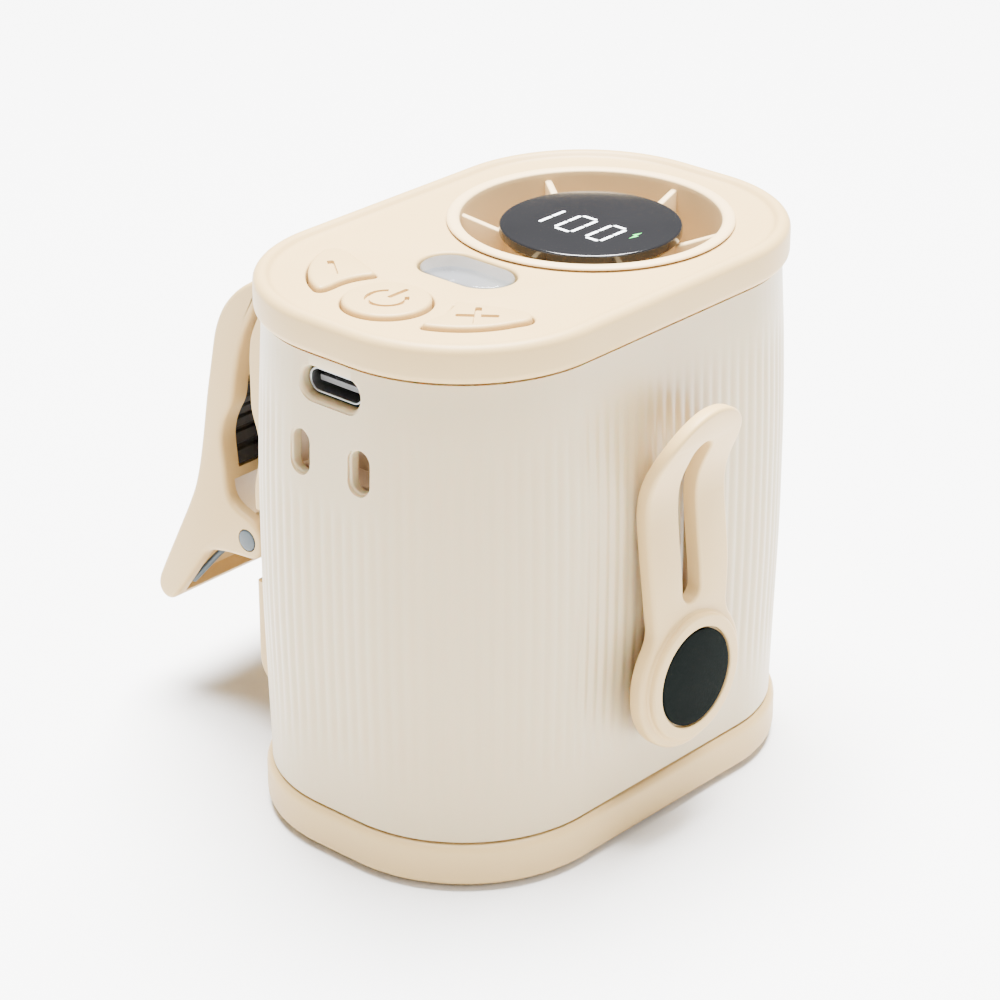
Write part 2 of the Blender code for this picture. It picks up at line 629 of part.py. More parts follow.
FIXED_FACE = [
    (24.5, 7.2), (28.4, 7.2), (30.4, 8.3), (31.4, 10.4), (31.4, 36.6), (30.8, 38.8), (30.3, 41.0),
    (30.3, 43.2), (30.9, 45.3), (31.6, 47.0), (31.7, 54.6), (31.3, 57.6), (29.5, 61.4), (28.2, 63.6),
    (24.5, 63.6),
]
LEVER_BED = [
    (33, 36.4), (38.4, 36.4), (38.9, 38.2), (39.1, 41.4), (38.6, 43.6), (37.8, 45.6), (36.4, 47.6),
    (35.9, 50.4), (33, 50.4),
]
FIXED_BED = [(29.2, 37.4), (33, 37.4), (33, 51.4), (30.1, 51.4), (28.6, 43.6), (28.6, 41.0)]


def make_clamp_base():
    base = prism("clamp_base", FIXED_FACE, -CLAMP_HALF, CLAMP_HALF, "X", CREAM)
    reach = CLAMP_HALF - EAR - GAP
    knuckle = prism("knuckle", circle((PIN_Y, PIN_Z), 2.9, 24), -reach, reach, "X")
    join(base, knuckle)
    for side in (1, -1):
        ends = sorted((side * reach, side * (CLAMP_HALF + 1)))
        notch = prism("notch", rounded_box(10, 10.6, 2.0, (PIN_Y, PIN_Z)), *ends, "X")
        cut(base, notch)
    cut(
        base,
        disc("pin_bore", PIN_RADIUS + GAP, -20, 20, (PIN_Y, PIN_Z), "X", sides=20),
        prism("spring_bay", rounded_box(13.4, 9.4, 1.0, (PIN_Y + 2.5, PIN_Z)), -14.6, 5.0, "X"),
        prism("pad_bed", FIXED_BED, -15.7, 15.7, "X"),
    )
    for z in (14, 52):
        cut(
            base,
            disc("bore", 1.5, 20, 35, (z, 0), "Y", sides=16),
            disc("sink", 2.7, 27.5 if z < 20 else 26.3, 35, (z, 0), "Y", sides=20),
        )
    return base


def make_clamp_lever():
    lever = prism("clamp_lever", LEVER_OUTER + LEVER_INNER, -CLAMP_HALF, CLAMP_HALF, "X", CREAM)
    inside = [
        (28, 35.0), (38.6, 35.0), (40.0, 33.2), (42.4, 28.4), (45.2, 23.2), (47.7, 18.6), (48.4, 16.2),
        (46.8, 14.4), (40, 14.0), (28, 20.0),
    ]
    half = CLAMP_HALF - EAR
    cut(
        lever,
        prism("hollow", inside, -half, half, "X"),
        disc("pin_bore", PIN_RADIUS + GAP, -20, 20, (PIN_Y, PIN_Z), "X", sides=20),
        prism("pad_bed", LEVER_BED, -15.7, 15.7, "X"),
    )
    set_origin(lever, (0, PIN_Y, PIN_Z))
    return lever


def ribbed(front, back, pitch=2.2, depth=0.4):
    """A rubber pad's section: saw-cut ribs along the front line, a plain back line."""
    points = []
    for (y0, z0), (y1, z1) in zip(front, front[1:]):
        length = sqrt((y1 - y0) ** 2 + (z1 - z0) ** 2)
        count = max(1, round(length / pitch))
        ny, nz = (z1 - z0) / length * depth, -(y1 - y0) / length * depth
        for i in range(count):
            for share, sunk in ((0.0, 0), (0.62, 0), (0.72, 1), (0.9, 1)):
                t = (i + share) / count
                points.append((y0 + (y1 - y0) * t + ny * sunk, z0 + (z1 - z0) * t + nz * sunk))
    return points + [front[-1]] + back


def make_pads():
    front = [(36.9, 36.8), (37.7, 39.4), (37.9, 41.6), (37.4, 43.6), (36.2, 45.6), (35.2, 47.4)]
    front.append((34.8, 50.0))
    back = [(35.5, 50.0), (36.0, 47.5), (37.4, 45.4), (38.2, 43.4), (38.7, 41.4), (38.5, 38.3), (38.0, 36.8)]
    moving = prism("clamp_pad_moving", ribbed(front, back), -PAD_HALF, PAD_HALF, "X", RUBBER)
    set_origin(moving, (0, PIN_Y, PIN_Z))
    front = [(31.0, 51.0), (31.0, 47.4), (30.2, 45.4), (29.7, 43.2), (29.7, 41.0), (30.3, 38.0)]
    back = [(29.6, 37.9), (29.0, 41.1), (29.0, 43.6), (30.4, 51.0)]
    prism("clamp_pad_fixed", ribbed(front, back), -PAD_HALF, PAD_HALF, "X", RUBBER)


def spring_route():
    """One leg up the plate, the coil round the pin, then the other leg down inside the tail."""
    coil = []
    per_turn = 12
    total = int(SPRING_TURNS * per_turn)
    for i in range(total + 1):
        turn = radians(200) + 2 * pi * i / per_turn * (SPRING_TURNS - 0.35) / SPRING_TURNS
        x = -4.0 - 1.15 * 2 * SPRING_WIRE * 1.9 * i / per_turn
        coil.append((x, PIN_Y + SPRING_RADIUS * cos(turn), PIN_Z + SPRING_RADIUS * sin(turn)))
    return coil


def make_spring():
    coil = spring_route()
    x, y, z = coil[0]
    tail = [(-12.4, 37.5, 27.4), (-15.2, 42.4, 21.3), (-15.6, 46.7, 16.4)]
    spring = tube("clamp_spring", [(x, y, z + 3.4)] + coil + tail, SPRING_WIRE, STEEL)
    set_origin(spring, (0, PIN_Y, PIN_Z))


def make_clamp_fasteners():
    reach = CLAMP_HALF + 0.1
    pin = disc("clamp_pin", PIN_RADIUS, -reach, reach, (PIN_Y, PIN_Z), "X", STEEL, 0.2, 20)
    set_origin(pin, (0, PIN_Y, PIN_Z))
    for name, z, seat in (("lower", 14, 27.8), ("upper", 52, 26.6)):
        screw = disc(f"clamp_screw_{name}", 2.3, seat, seat + 1.2, (z, 0), "Y", STEEL, sides=18)
        join(screw, disc("shank", 1.2, 20.5, seat + 0.3, (z, 0), "Y", sides=12))
        cut(screw, block("slot", (-1.3, seat + 0.8, z - 0.3), (1.3, seat + 2, z + 0.3)))


def main():
    make_shell()
    make_lid()
    make_base()
    make_feet()
    make_base_screws()
    make_intake_grille()
    make_chassis()
    make_duct()
    make_outlet_grille()
    make_display()
    make_motor()
    make_rotor()
    make_buttons()
    make_electronics()
    make_port()
    make_strap_pocket()
    make_cells()
    make_belt_clip()
    make_clamp_base()
    make_clamp_lever()
    make_pads()
    make_spring()
    make_clamp_fasteners()


main()
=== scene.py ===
"""Finishes a clip-on rechargeable blower: shell, lid, keys, air outlet, display, belt clip and clamp.

Each operator models one piece, or a group of like pieces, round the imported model. Sizes are in millimetres
unless a name says otherwise, and MM turns them into the scene's metres.
"""

import json
from math import atan2, cos, degrees, exp, pi, radians, sin, sqrt

import bpy
from bpy.props import FloatProperty, FloatVectorProperty, IntProperty, PointerProperty
from bpy.types import Operator, Panel, PropertyGroup
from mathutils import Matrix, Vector


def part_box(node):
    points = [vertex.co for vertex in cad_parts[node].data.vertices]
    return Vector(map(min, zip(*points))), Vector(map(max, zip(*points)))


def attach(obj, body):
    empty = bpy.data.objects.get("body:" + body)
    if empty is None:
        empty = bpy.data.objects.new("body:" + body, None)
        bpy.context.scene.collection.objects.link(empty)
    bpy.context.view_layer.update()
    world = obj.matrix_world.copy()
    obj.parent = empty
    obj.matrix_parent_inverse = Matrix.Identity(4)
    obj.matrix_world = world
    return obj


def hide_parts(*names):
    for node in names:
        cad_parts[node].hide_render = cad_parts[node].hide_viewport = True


bl_info = {
    "name": "Clip-on Blower Finish",
    "version": (1, 0, 0),
    "blender": (4, 5, 0),
    "location": "View3D > Sidebar > Blower",
    "description": "Models the finished surfaces of a clip-on rechargeable blower",
    "category": "Object",
}

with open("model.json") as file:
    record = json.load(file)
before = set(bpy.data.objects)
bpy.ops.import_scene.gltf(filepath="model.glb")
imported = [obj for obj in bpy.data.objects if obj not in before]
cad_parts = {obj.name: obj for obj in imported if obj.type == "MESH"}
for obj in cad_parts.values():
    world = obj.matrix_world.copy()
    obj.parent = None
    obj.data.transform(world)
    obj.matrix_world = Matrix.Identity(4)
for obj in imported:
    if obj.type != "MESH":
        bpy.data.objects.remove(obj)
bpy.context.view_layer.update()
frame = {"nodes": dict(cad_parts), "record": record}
MM = 0.001


def low(node, axis):
    """The lowest place of a CAD node along X, Y or Z, in millimetres."""
    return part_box(node)[0]["XYZ".index(axis)] / MM


def high(node, axis):
    """The highest place of a CAD node along X, Y or Z, in millimetres."""
    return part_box(node)[1]["XYZ".index(axis)] / MM


def middle(node, axis):
    return (low(node, axis) + high(node, axis)) / 2


# Sizes in millimetres. The belt clip's and the clamp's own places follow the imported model's

HALF_LENGTH, HALF_WIDTH = high("lid", "X"), high("lid", "Y")
CORNER = 20.2
LID_BOTTOM, LID_TOP = low("lid", "Z"), high("lid", "Z")
LID_FLOOR, LID_INSIDE = LID_TOP - 0.7, LID_TOP - 2.6
BASE_BOTTOM, BASE_TOP = low("base_plate", "Z"), high("base_plate", "Z")
SHELL_BOTTOM, SHELL_TOP = low("shell", "Z"), high("shell", "Z")
WALL = 1.6
FAN_X = middle("outlet_grille", "X")
OUTLET_RADIUS = 16.7
HUB_RADIUS = 11.0
HUB_BOTTOM, HUB_TOP = low("outlet_grille", "Z"), 70.5
DISPLAY_RADIUS = (high("display_lens", "X") - low("display_lens", "X")) / 2
DISPLAY_BOTTOM, DISPLAY_TOP = low("display_lens", "Z"), high("display_lens", "Z")
POWER_X, POWER_RADIUS = -25.3, 5.45
KEY_BOTTOM, KEY_TOP = low("button_power", "Z"), high("button_power", "Z")
LENS_X = middle("led_lens", "X")
LENS_LENGTH, LENS_WIDTH = 13.9, 7.9
USB_Z = middle("usb_receptacle", "Z")
SLOT_Y, SLOT_Z, SLOT_WIDTH, SLOT_HEIGHT = 4.9, 55.3, 2.9, 5.5
CLIP_Z, CLIP_BOSS, CLIP_HALF, CLIP_TOP = 22.1, 9.9, 7.7, 59.6
CLIP_FACE, CLIP_THICK = -27.9, 2.1
PUCK_RADIUS, PUCK_FACE = 8.5, -28.9
CLAMP_HALF, EAR = high("clamp_lever", "X"), 1.8
PIN_Y, PIN_Z, PIN_RADIUS = 32.9, 27.8, 1.3
GAP = 0.3
VANES = 6
INTAKE_RADIUS = 11.3
SCREW_HEAD, SCREW_BORE = 2.1, 1.3
SPRING_RADIUS, SPRING_WIRE, SPRING_TURNS = 3.6, 0.45, 3.65


class BlowerSettings(PropertyGroup):
    """What a user would change on the finished blower."""

    flute_pitch: FloatProperty(
        name="Flute Pitch", description="Width of one flute", unit="LENGTH", precision=5,
        default=0.0018, min=0.0008, max=0.004,
    )
    flute_depth: FloatProperty(
        name="Flute Depth", description="Depth of a flute", unit="LENGTH", precision=5,
        default=0.00016, min=0, max=0.0005,
    )
    corner_steps: IntProperty(
        name="Corner Steps", description="Faces round a corner of the body", subtype="UNSIGNED",
        default=24, min=6,
    )
    cream: FloatVectorProperty(
        name="Cream", description="Colour of the moulded plastic", subtype="COLOR", size=3,
        default=(0.56, 0.385, 0.165), min=0, max=1,
    )
    frosted: FloatVectorProperty(
        name="Frosted", description="Colour of the fluted shell", subtype="COLOR", size=3,
        default=(0.47, 0.365, 0.20), min=0, max=1,
    )
    duct: FloatVectorProperty(
        name="Duct", description="Colour inside the air outlet", subtype="COLOR", size=3,
        default=(0.70, 0.50, 0.25), min=0, max=1,
    )
    digits: FloatVectorProperty(
        name="Digits", description="Colour of the lit digits", subtype="COLOR", size=3,
        default=(0.9, 0.93, 0.95), min=0, max=1,
    )
    charge: FloatVectorProperty(
        name="Charge Mark", description="Colour of the lit charging mark", subtype="COLOR", size=3,
        default=(0.05, 0.62, 0.12), min=0, max=1,
    )
    light_power: FloatProperty(
        name="Light", description="Strength that all the lights share", unit="POWER", default=1.9, min=0
    )


def settings():
    return bpy.context.scene.blower


# Shader maths


class Value:
    """A shader socket that can be used in sums."""

    def __init__(self, finish, socket):
        self.finish, self.socket = finish, socket

    def _math(self, operation, a, b):
        return self.finish.node("ShaderNodeMath", {"operation": operation}, {0: a, 1: b})

    def __add__(self, other):
        return self._math("ADD", self, other)

    def __radd__(self, other):
        return self._math("ADD", other, self)

    def __sub__(self, other):
        return self._math("SUBTRACT", self, other)

    def __rsub__(self, other):
        return self._math("SUBTRACT", other, self)

    def __mul__(self, other):
        return self._math("MULTIPLY", self, other)

    def __rmul__(self, other):
        return self._math("MULTIPLY", other, self)


class Finish:
    """A material under construction, with one Principled shader."""

    def __init__(self, name, **constants):
        self.material = bpy.data.materials.new(name)
        self.material.use_nodes = True
        self.tree = self.material.node_tree
        self.shader = self.tree.nodes["Principled BSDF"]
        for key, value in constants.items():
            self.shader.inputs[key.replace("_", " ").title().replace("Ior", "IOR")].default_value = value
        coordinates = self.tree.nodes.new("ShaderNodeTexCoord")
        self.place = Value(self, coordinates.outputs["Object"])

    def node(self, kind, options=None, inputs=None, output=0):
        """Adds a node with its options and inputs, and gives back one of its outputs."""
        made = self.tree.nodes.new(kind)
        for key, value in (options or {}).items():
            setattr(made, key, value)
        for key, value in (inputs or {}).items():
            self.link(made.inputs[key], value)
        return Value(self, made.outputs[output])

    def link(self, socket, value):
        if isinstance(value, Value):
            self.tree.links.new(value.socket, socket)
        else:
            socket.default_value = value

    def noise(self, scale, detail=2.0, stretch=(1, 1, 1)):
        place = self.node("ShaderNodeMapping", {}, {"Vector": self.place, "Scale": stretch})
        return self.node("ShaderNodeTexNoise", {}, {"Vector": place, "Scale": scale, "Detail": detail})

    def mixed(self, share, first, second):
        """A colour between two colours."""
        inputs = {0: share, 6: (*first, 1), 7: (*second, 1)}
        return self.node("ShaderNodeMix", {"data_type": "RGBA"}, inputs, 2)

    def set(self, **links):
        for key, value in links.items():
            self.link(self.shader.inputs[key.replace("_", " ").title()], value)
        return self

    def bump(self, height, distance):
        """Raises the surface by the height, at most by a distance in metres."""
        return self.set(normal=self.node("ShaderNodeBump", {}, {"Height": height, "Distance": distance}))


def scaled(colour, share):
    return tuple(min(1.0, part * share) for part in colour)


def moulded(name, colour, rough=0.42, grain=0.000012, tone=0.035, **constants):
    """Moulded plastic: slow colour drift, fine spark-eroded grain and uneven gloss."""
    colour = tuple(colour)
    finish = Finish(name, **constants)
    drift = finish.noise(55.0, 3.0)
    fine = finish.noise(5200.0, 2.0)
    finish.set(base_color=finish.mixed(drift, scaled(colour, 1 - tone), scaled(colour, 1 + tone)))
    finish.set(roughness=rough - 0.05 + 0.1 * finish.noise(140.0, 2.0) + 0.03 * fine)
    return finish.bump(fine, grain).material


def metal(name, colour, rough=0.28):
    finish = Finish(name, metallic=1.0)
    brushed = finish.noise(2600.0, 3.0)
    finish.set(base_color=finish.mixed(finish.noise(120.0), scaled(colour, 0.88), scaled(colour, 1.06)))
    finish.set(roughness=rough - 0.07 + 0.14 * brushed)
    return finish.bump(brushed, 0.000006).material


def polished(name, colour, rough=0.08, coat=0.6):
    """Gloss black: faint smears in the gloss, a clear coat over it."""
    finish = Finish(name, coat_weight=coat, coat_roughness=0.05)
    finish.set(base_color=finish.mixed(finish.noise(70.0), scaled(colour, 0.85), scaled(colour, 1.2)))
    smear = finish.noise(260.0, 4.0, (1, 0.4, 1))
    return finish.set(roughness=rough + 0.07 * smear).bump(smear, 0.000003).material


def rubber(name, colour=(0.022, 0.02, 0.018), **constants):
    finish = Finish(name, **constants)
    fine = finish.noise(3800.0, 3.0)
    finish.set(base_color=finish.mixed(finish.noise(160.0), scaled(colour, 0.8), scaled(colour, 1.5)))
    finish.set(roughness=0.62 + 0.2 * fine)
    return finish.bump(fine, 0.00003).material


def glowing(name, colour, strength):
    finish = Finish(name, emission_strength=strength)
    soft = finish.noise(900.0)
    tint = finish.mixed(soft, scaled(colour, 0.94), colour)
    finish.set(base_color=tint, emission_color=tint, roughness=0.35 + 0.1 * soft)
    return finish.bump(soft, 0.000004).material


def frosted_plastic(name, colour):
    """Milky shell: a little light comes through it, with faint cloudy streaks along the height."""
    colour = tuple(colour)
    finish = Finish(
        name, subsurface_weight=0.25, subsurface_scale=0.002, coat_weight=0.25, coat_roughness=0.3
    )
    streak = finish.noise(420.0, 2.0, (1, 1, 0.02))
    cloud = finish.noise(45.0, 2.0)
    share = 0.6 * streak + 0.4 * cloud
    finish.set(base_color=finish.mixed(share, scaled(colour, 0.96), scaled(colour, 1.04)))
    finish.set(roughness=0.36 + 0.08 * cloud)
    return finish.bump(finish.noise(4200.0), 0.000008).material


def clear_plastic(name):
    finish = Finish(name, coat_weight=0.8, coat_roughness=0.03, ior=1.49)
    ripple = finish.noise(300.0)
    finish.set(base_color=finish.mixed(ripple, (0.40, 0.41, 0.43), (0.47, 0.48, 0.50)))
    finish.set(roughness=0.06 + 0.04 * ripple, alpha=0.26 + 0.08 * ripple)
    return finish.bump(ripple, 0.000006).material


def circuit_board(name):
    finish = Finish(name)
    trace = finish.noise(900.0, 1.0)
    finish.set(base_color=finish.mixed(trace, (0.015, 0.10, 0.04), (0.03, 0.19, 0.08)))
    return finish.set(roughness=0.35 + 0.15 * trace).bump(trace, 0.00002).material


def wound_copper(name):
    finish = Finish(name, metallic=1.0)
    turns = finish.noise(1500.0, 1.0, (0.2, 0.2, 6))
    finish.set(base_color=finish.mixed(turns, (0.30, 0.12, 0.05), (0.75, 0.36, 0.17)))
    return finish.set(roughness=0.3 + 0.2 * turns).bump(turns, 0.0001).material


MATERIALS = {}


def make_materials():
    """Makes every finish once. The names of the CAD slots are the keys."""
    s = settings()
    cream = tuple(s.cream)
    MATERIALS.update(
        cream=moulded("cream_moulding", cream, specular_ior_level=0.3),
        key=moulded("key_moulding", scaled(cream, 0.99), rough=0.38, specular_ior_level=0.3),
        frosted=frosted_plastic("frosted_fluted", s.frosted),
        duct_tan=moulded("duct_moulding", s.duct, rough=0.5),
        display_black=polished("display_glass_black", (0.010, 0.010, 0.011), rough=0.1, coat=0.3),
        badge=rubber("badge_black", (0.003, 0.0045, 0.004), specular_ior_level=0.02),
        rubber=rubber("grip_rubber"),
        steel=metal("plain_steel", (0.52, 0.55, 0.57)),
        pin=moulded("pin_steel", (0.030, 0.048, 0.060), rough=0.45),
        # Painted shade: the port's steel is darker than plain steel to stand in for the shade inside the
        # port.
        port=metal("port_steel_darkened_for_shade", (0.36, 0.37, 0.37), rough=0.42),
        copper=wound_copper("copper_winding"),
        board=circuit_board("circuit_board"),
        white=moulded("white_moulding", (0.78, 0.77, 0.73), rough=0.4),
        cell=moulded("cell_foil", (0.42, 0.46, 0.5), rough=0.3, metallic=0.7),
        clear=clear_plastic("clear_window"),
        # Painted highlight: the LED dome glows faintly so that it looks as bright as the highlight on it.
        led=glowing("led_glow_as_highlight", (0.92, 0.90, 0.80), 0.35),
        reflector=moulded("reflector_moulding", (0.30, 0.31, 0.32), rough=0.25),
        lead_red=moulded("red_insulation", (0.55, 0.02, 0.02), rough=0.35),
        lead_black=moulded("black_insulation", (0.02, 0.02, 0.02), rough=0.4),
        # Painted light: the strap pocket is coloured much lighter than its own tan so that its shaded inside
        # looks lit through the slots.
        pocket=moulded("pocket_lightened_against_shade", (0.92, 0.76, 0.60), rough=0.6),
        tongue=moulded("tongue_moulding", (0.07, 0.07, 0.072), rough=0.35),
        digits=glowing("lit_digits", tuple(s.digits), 1.1),
        charge=glowing("lit_charge_mark", tuple(s.charge), 1.0),
    )


# Outlines, as lists of (a, b) points in order round the shape


def quarter(steps):
    """The angles of a quarter turn, from 0 to pi / 2."""
    return [pi / 2 * i / steps for i in range(steps + 1)]


def arc(centre, radius, start, end, steps=8):
    """Points on an arc, from one angle to another in degrees."""
    turns = [radians(start + (end - start) * i / steps) for i in range(steps + 1)]
    return [(centre[0] + radius * cos(t), centre[1] + radius * sin(t)) for t in turns]


def circle(radius, centre=(0.0, 0.0), sides=64):
    return arc(centre, radius, 0, 360 - 360 / sides, sides - 1)


def rounded_box(width, height, radius, centre=(0.0, 0.0), steps=8):
    cx, cy = width / 2 - radius, height / 2 - radius
    points = []
    for turn, sx, sy in ((0, 1, 1), (90, -1, 1), (180, -1, -1), (270, 1, -1)):
        points += arc((centre[0] + sx * cx, centre[1] + sy * cy), radius, turn, turn + 90, steps)
    return points


def pill(width, height, centre=(0.0, 0.0), steps=12):
    """A slot with round ends, whose last hundredth of a millimetre stays straight."""
    return rounded_box(width, height, min(width, height) / 2 - 0.01, centre, steps)


def body_outline():
    return rounded_box(2 * HALF_LENGTH, 2 * HALF_WIDTH, CORNER, steps=settings().corner_steps)


def grown(points, offset):
    """The outline moved outwards by offset along its own normals."""
    made = []
    count = len(points)
    for i, (a, b) in enumerate(points):
        a0, b0 = points[i - 1]
        a1, b1 = points[(i + 1) % count]
        first = Vector((b - b0, a0 - a)).normalized()
        second = Vector((b1 - b, a - a1)).normalized()
        normal = (first + second).normalized()
        made.append((a + normal.x * offset, b + normal.y * offset))
    return made


def resampled(points, spacing):
    """The closed outline with its points evenly spaced."""
    loop = points + points[:1]
    lengths = [sqrt((c - a) ** 2 + (d - b) ** 2) for (a, b), (c, d) in zip(loop, loop[1:])]
    total = sum(lengths)
    count = max(8, round(total / spacing))
    made, run, k = [], 0.0, 0
    for i in range(count):
        target = total * i / count
        while run + lengths[k] < target:
            run += lengths[k]
            k += 1
        t = (target - run) / lengths[k]
        (a, b), (c, d) = loop[k], loop[k + 1]
        made.append((a + (c - a) * t, b + (d - b) * t))
    return made


def softened(points, spacing=0.25, reach=3):
    """The outline with its corners rounded by averaging each point with its neighbours."""
    points = resampled(points, spacing)
    count = len(points)
    made = []
    for i in range(count):
        near = [points[(i + k) % count] for k in range(-reach, reach + 1)]
        made.append((sum(p[0] for p in near) / len(near), sum(p[1] for p in near) / len(near)))
    return made


# Modelling steps


def start_clean():
    if bpy.context.mode != "OBJECT":
        bpy.ops.object.mode_set(mode="OBJECT")
    bpy.ops.object.select_all(action="DESELECT")


def pick(obj, *others):
    start_clean()
    for each in (obj, *others):
        each.select_set(True)
    bpy.context.view_layer.objects.active = obj
    return obj


def to_axis(point, height, axis):
    """A point of an outline at a height along X, Y or Z. Along X it is (y, z), along Y it is (z, x)."""
    a, b = point
    return Vector({"X": (height, a, b), "Y": (b, height, a), "Z": (a, b, height)}[axis]) * MM


def swept(name, outline, profile, axis="Z", caps=True):
    """A solid whose cross-section is the outline, grown by each offset at each height of the profile.

    A ring of points is extruded once for each (offset, height) and put in its place. Without caps the
    ends stay open.
    """
    start_clean()
    count = len(outline)
    bpy.ops.mesh.primitive_circle_add(vertices=count, fill_type="NGON" if caps else "NOTHING")
    obj = bpy.context.object
    obj.name = obj.data.name = name
    extrude = bpy.ops.mesh.extrude_region_move if caps else bpy.ops.mesh.extrude_edges_move
    for row, (offset, height) in enumerate(profile):
        if row:
            bpy.ops.object.mode_set(mode="EDIT")
            extrude()
            bpy.ops.object.mode_set(mode="OBJECT")
        ring = grown(outline, offset) if offset else outline
        for vert, point in zip(obj.data.vertices[-count:], ring):
            vert.co = to_axis(point, height, axis)
    bpy.ops.object.mode_set(mode="EDIT")
    bpy.ops.mesh.select_all(action="SELECT")
    bpy.ops.mesh.remove_doubles(threshold=1e-7)
    bpy.ops.mesh.normals_make_consistent(inside=False)
    bpy.ops.object.mode_set(mode="OBJECT")
    return obj


def closed_sweep(name, outline, profile, axis="Z"):
    """A ring-like solid: the profile's last point joins its first."""
    return swept(name, outline, [*profile, profile[0]], axis, caps=False)


def rounded_rims(low_end, high_end, radius, steps=4, low_radius=None):
    """A profile from one end to the other with both rims rounded inwards."""
    bottom = radius if low_radius is None else low_radius
    made = [(0.0, low_end)]
    if bottom:
        made = [(bottom * (sin(t) - 1), low_end + bottom * (1 - cos(t))) for t in quarter(steps)]
    return made + [(radius * (cos(t) - 1), high_end - radius * (1 - sin(t))) for t in quarter(steps)]


def modify(obj, kind, **values):
    """Adds a modifier and applies it."""
    pick(obj)
    modifier = obj.modifiers.new(kind.lower(), kind)
    for key, value in values.items():
        setattr(modifier, key, value)
    bpy.ops.object.modifier_apply(modifier=modifier.name)


def boolean(obj, other, operation="DIFFERENCE"):
    modify(obj, "BOOLEAN", operation=operation, object=other, solver="EXACT")
    bpy.data.objects.remove(other, do_unlink=True)
    return obj


def cut(obj, *cutters):
    for cutter in cutters:
        boolean(obj, cutter)
    return obj


def join(obj, *others):
    for other in others:
        boolean(obj, other, "UNION")
    return obj


def hole(outline, bottom, surface, flare=0.3, axis="Z", reach=3.0, steps=4):
    """A cutter for a through hole whose mouth at the surface is rounded over by flare."""
    sign = 1 if surface > bottom else -1
    mouth = [(flare * (1 - cos(t)), surface - sign * flare * (1 - sin(t))) for t in quarter(steps)]
    return swept("hole", outline, [(0.0, bottom), *mouth, (flare, surface + sign * reach)], axis)


def piece(obj, name, body, material, slot, *replaced, angle=35):
    """Names, shades and finishes a piece, and ties it to the body that it moves with."""
    pick(obj)
    obj.name = obj.data.name = name
    obj.data.materials.clear()
    obj.data.materials.append(MATERIALS[material])
    bpy.ops.object.shade_smooth_by_angle(angle=radians(angle))
    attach(obj, body)
    if replaced:
        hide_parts(*replaced)
    return obj


# Shell


def smooth_between(stations, height):
    """A smooth curve through (height, value) stations."""
    if height <= stations[0][0]:
        return stations[0][1]
    for (z0, a), (z1, b) in zip(stations, stations[1:]):
        if height <= z1:
            t = (height - z0) / (z1 - z0)
            return a + (b - a) * t * t * (3 - 2 * t)
    return stations[-1][1]


def along(stations, height):
    """A straight-line curve through (height, value) stations."""
    if height <= stations[0][0]:
        return stations[0][1]
    for (z0, a), (z1, b) in zip(stations, stations[1:]):
        if height <= z1:
            return a + (b - a) * (height - z0) / (z1 - z0)
    return stations[-1][1]


SHELL_BULGE = (
    (6.4, -0.7), (14, -0.5), (23, -0.25), (30, -0.03), (39.5, 0.0), (49, -0.05), (60, -0.45),
    (68.6, -1.0),
)
FLUTE_FADE = ((10.5, 0.0), (20.5, 1.0), (56.5, 1.0), (63.5, 0.0))
POINTS_PER_FLUTE = 8
SHELL_RINGS = 45
CALM_END, CALM_ABOVE, CALM_HALF, CALM_FADE = -30, 49, 6.5, 3.0


def bulge(height):
    """The barrel's stand-off, averaged over a short height so that it has no creases."""
    return sum(along(SHELL_BULGE, height + step) for step in (-4, -2, 0, 2, 4)) / 5


class BLOWER_OT_shell(Operator):
    """Models the frosted shell with its fine upright flutes, port and strap slots"""

    bl_idname = "blower.shell"
    bl_label = "Fluted Shell"

    def execute(self, context):
        s = settings()
        girth = 4 * (HALF_LENGTH + HALF_WIDTH - 2 * CORNER) + 2 * pi * CORNER
        flutes = round(girth / (s.flute_pitch / MM))
        outline = resampled(body_outline(), girth / (flutes * POINTS_PER_FLUTE))
        rise = (SHELL_TOP - SHELL_BOTTOM) / (SHELL_RINGS - 1)
        profile = [(0.0, SHELL_BOTTOM + rise * i) for i in range(SHELL_RINGS)]
        shell = swept("shell", outline, profile, caps=False)
        self.shape(shell, outline, s.flute_depth / MM)
        modify(shell, "SOLIDIFY", thickness=WALL * MM, offset=-1.0)
        end, inner = -HALF_LENGTH, 6 - HALF_LENGTH
        port = hole(rounded_box(9.6, 3.92, 1.9, (0, USB_Z)), inner, end - bulge(USB_Z), 0.55, "X")
        cut(shell, port)
        for y in (-SLOT_Y, SLOT_Y):
            slot = rounded_box(SLOT_WIDTH, SLOT_HEIGHT, 1.4, (y, SLOT_Z))
            cut(shell, hole(slot, inner, end - bulge(SLOT_Z) + 0.35, 0.3, "X"))
        cut(shell, swept("post_hole", circle(2.4, (CLIP_Z, 0), 32), [(0, -28), (0, -20)], "Y"))
        piece(shell, "fluted_shell", "body", "frosted", "frosted", "shell", angle=40)
        return {"FINISHED"}

    def shape(self, shell, outline, depth):
        """Moves each ring of the shell out to the barrel and in by the flutes."""
        normals = [Vector((b[0] - a[0], b[1] - a[1])) for a, b in zip(outline, grown(outline, 1.0))]
        for vert in shell.data.vertices:
            x, y, z = vert.co / MM
            i = vert.index % len(outline)
            wave = (0.5 - 0.5 * cos(2 * pi * i / POINTS_PER_FLUTE)) ** 0.7
            calm = 1.0
            if x < CALM_END and z > CALM_ABOVE:
                calm = 1 - exp(-((max(0.0, abs(y) - CALM_HALF) / CALM_FADE) ** 2))
            out = bulge(z) - depth * (1 - wave) * smooth_between(FLUTE_FADE, z) * calm
            vert.co.x = (x + normals[i].x * out) * MM
            vert.co.y = (y + normals[i].y * out) * MM


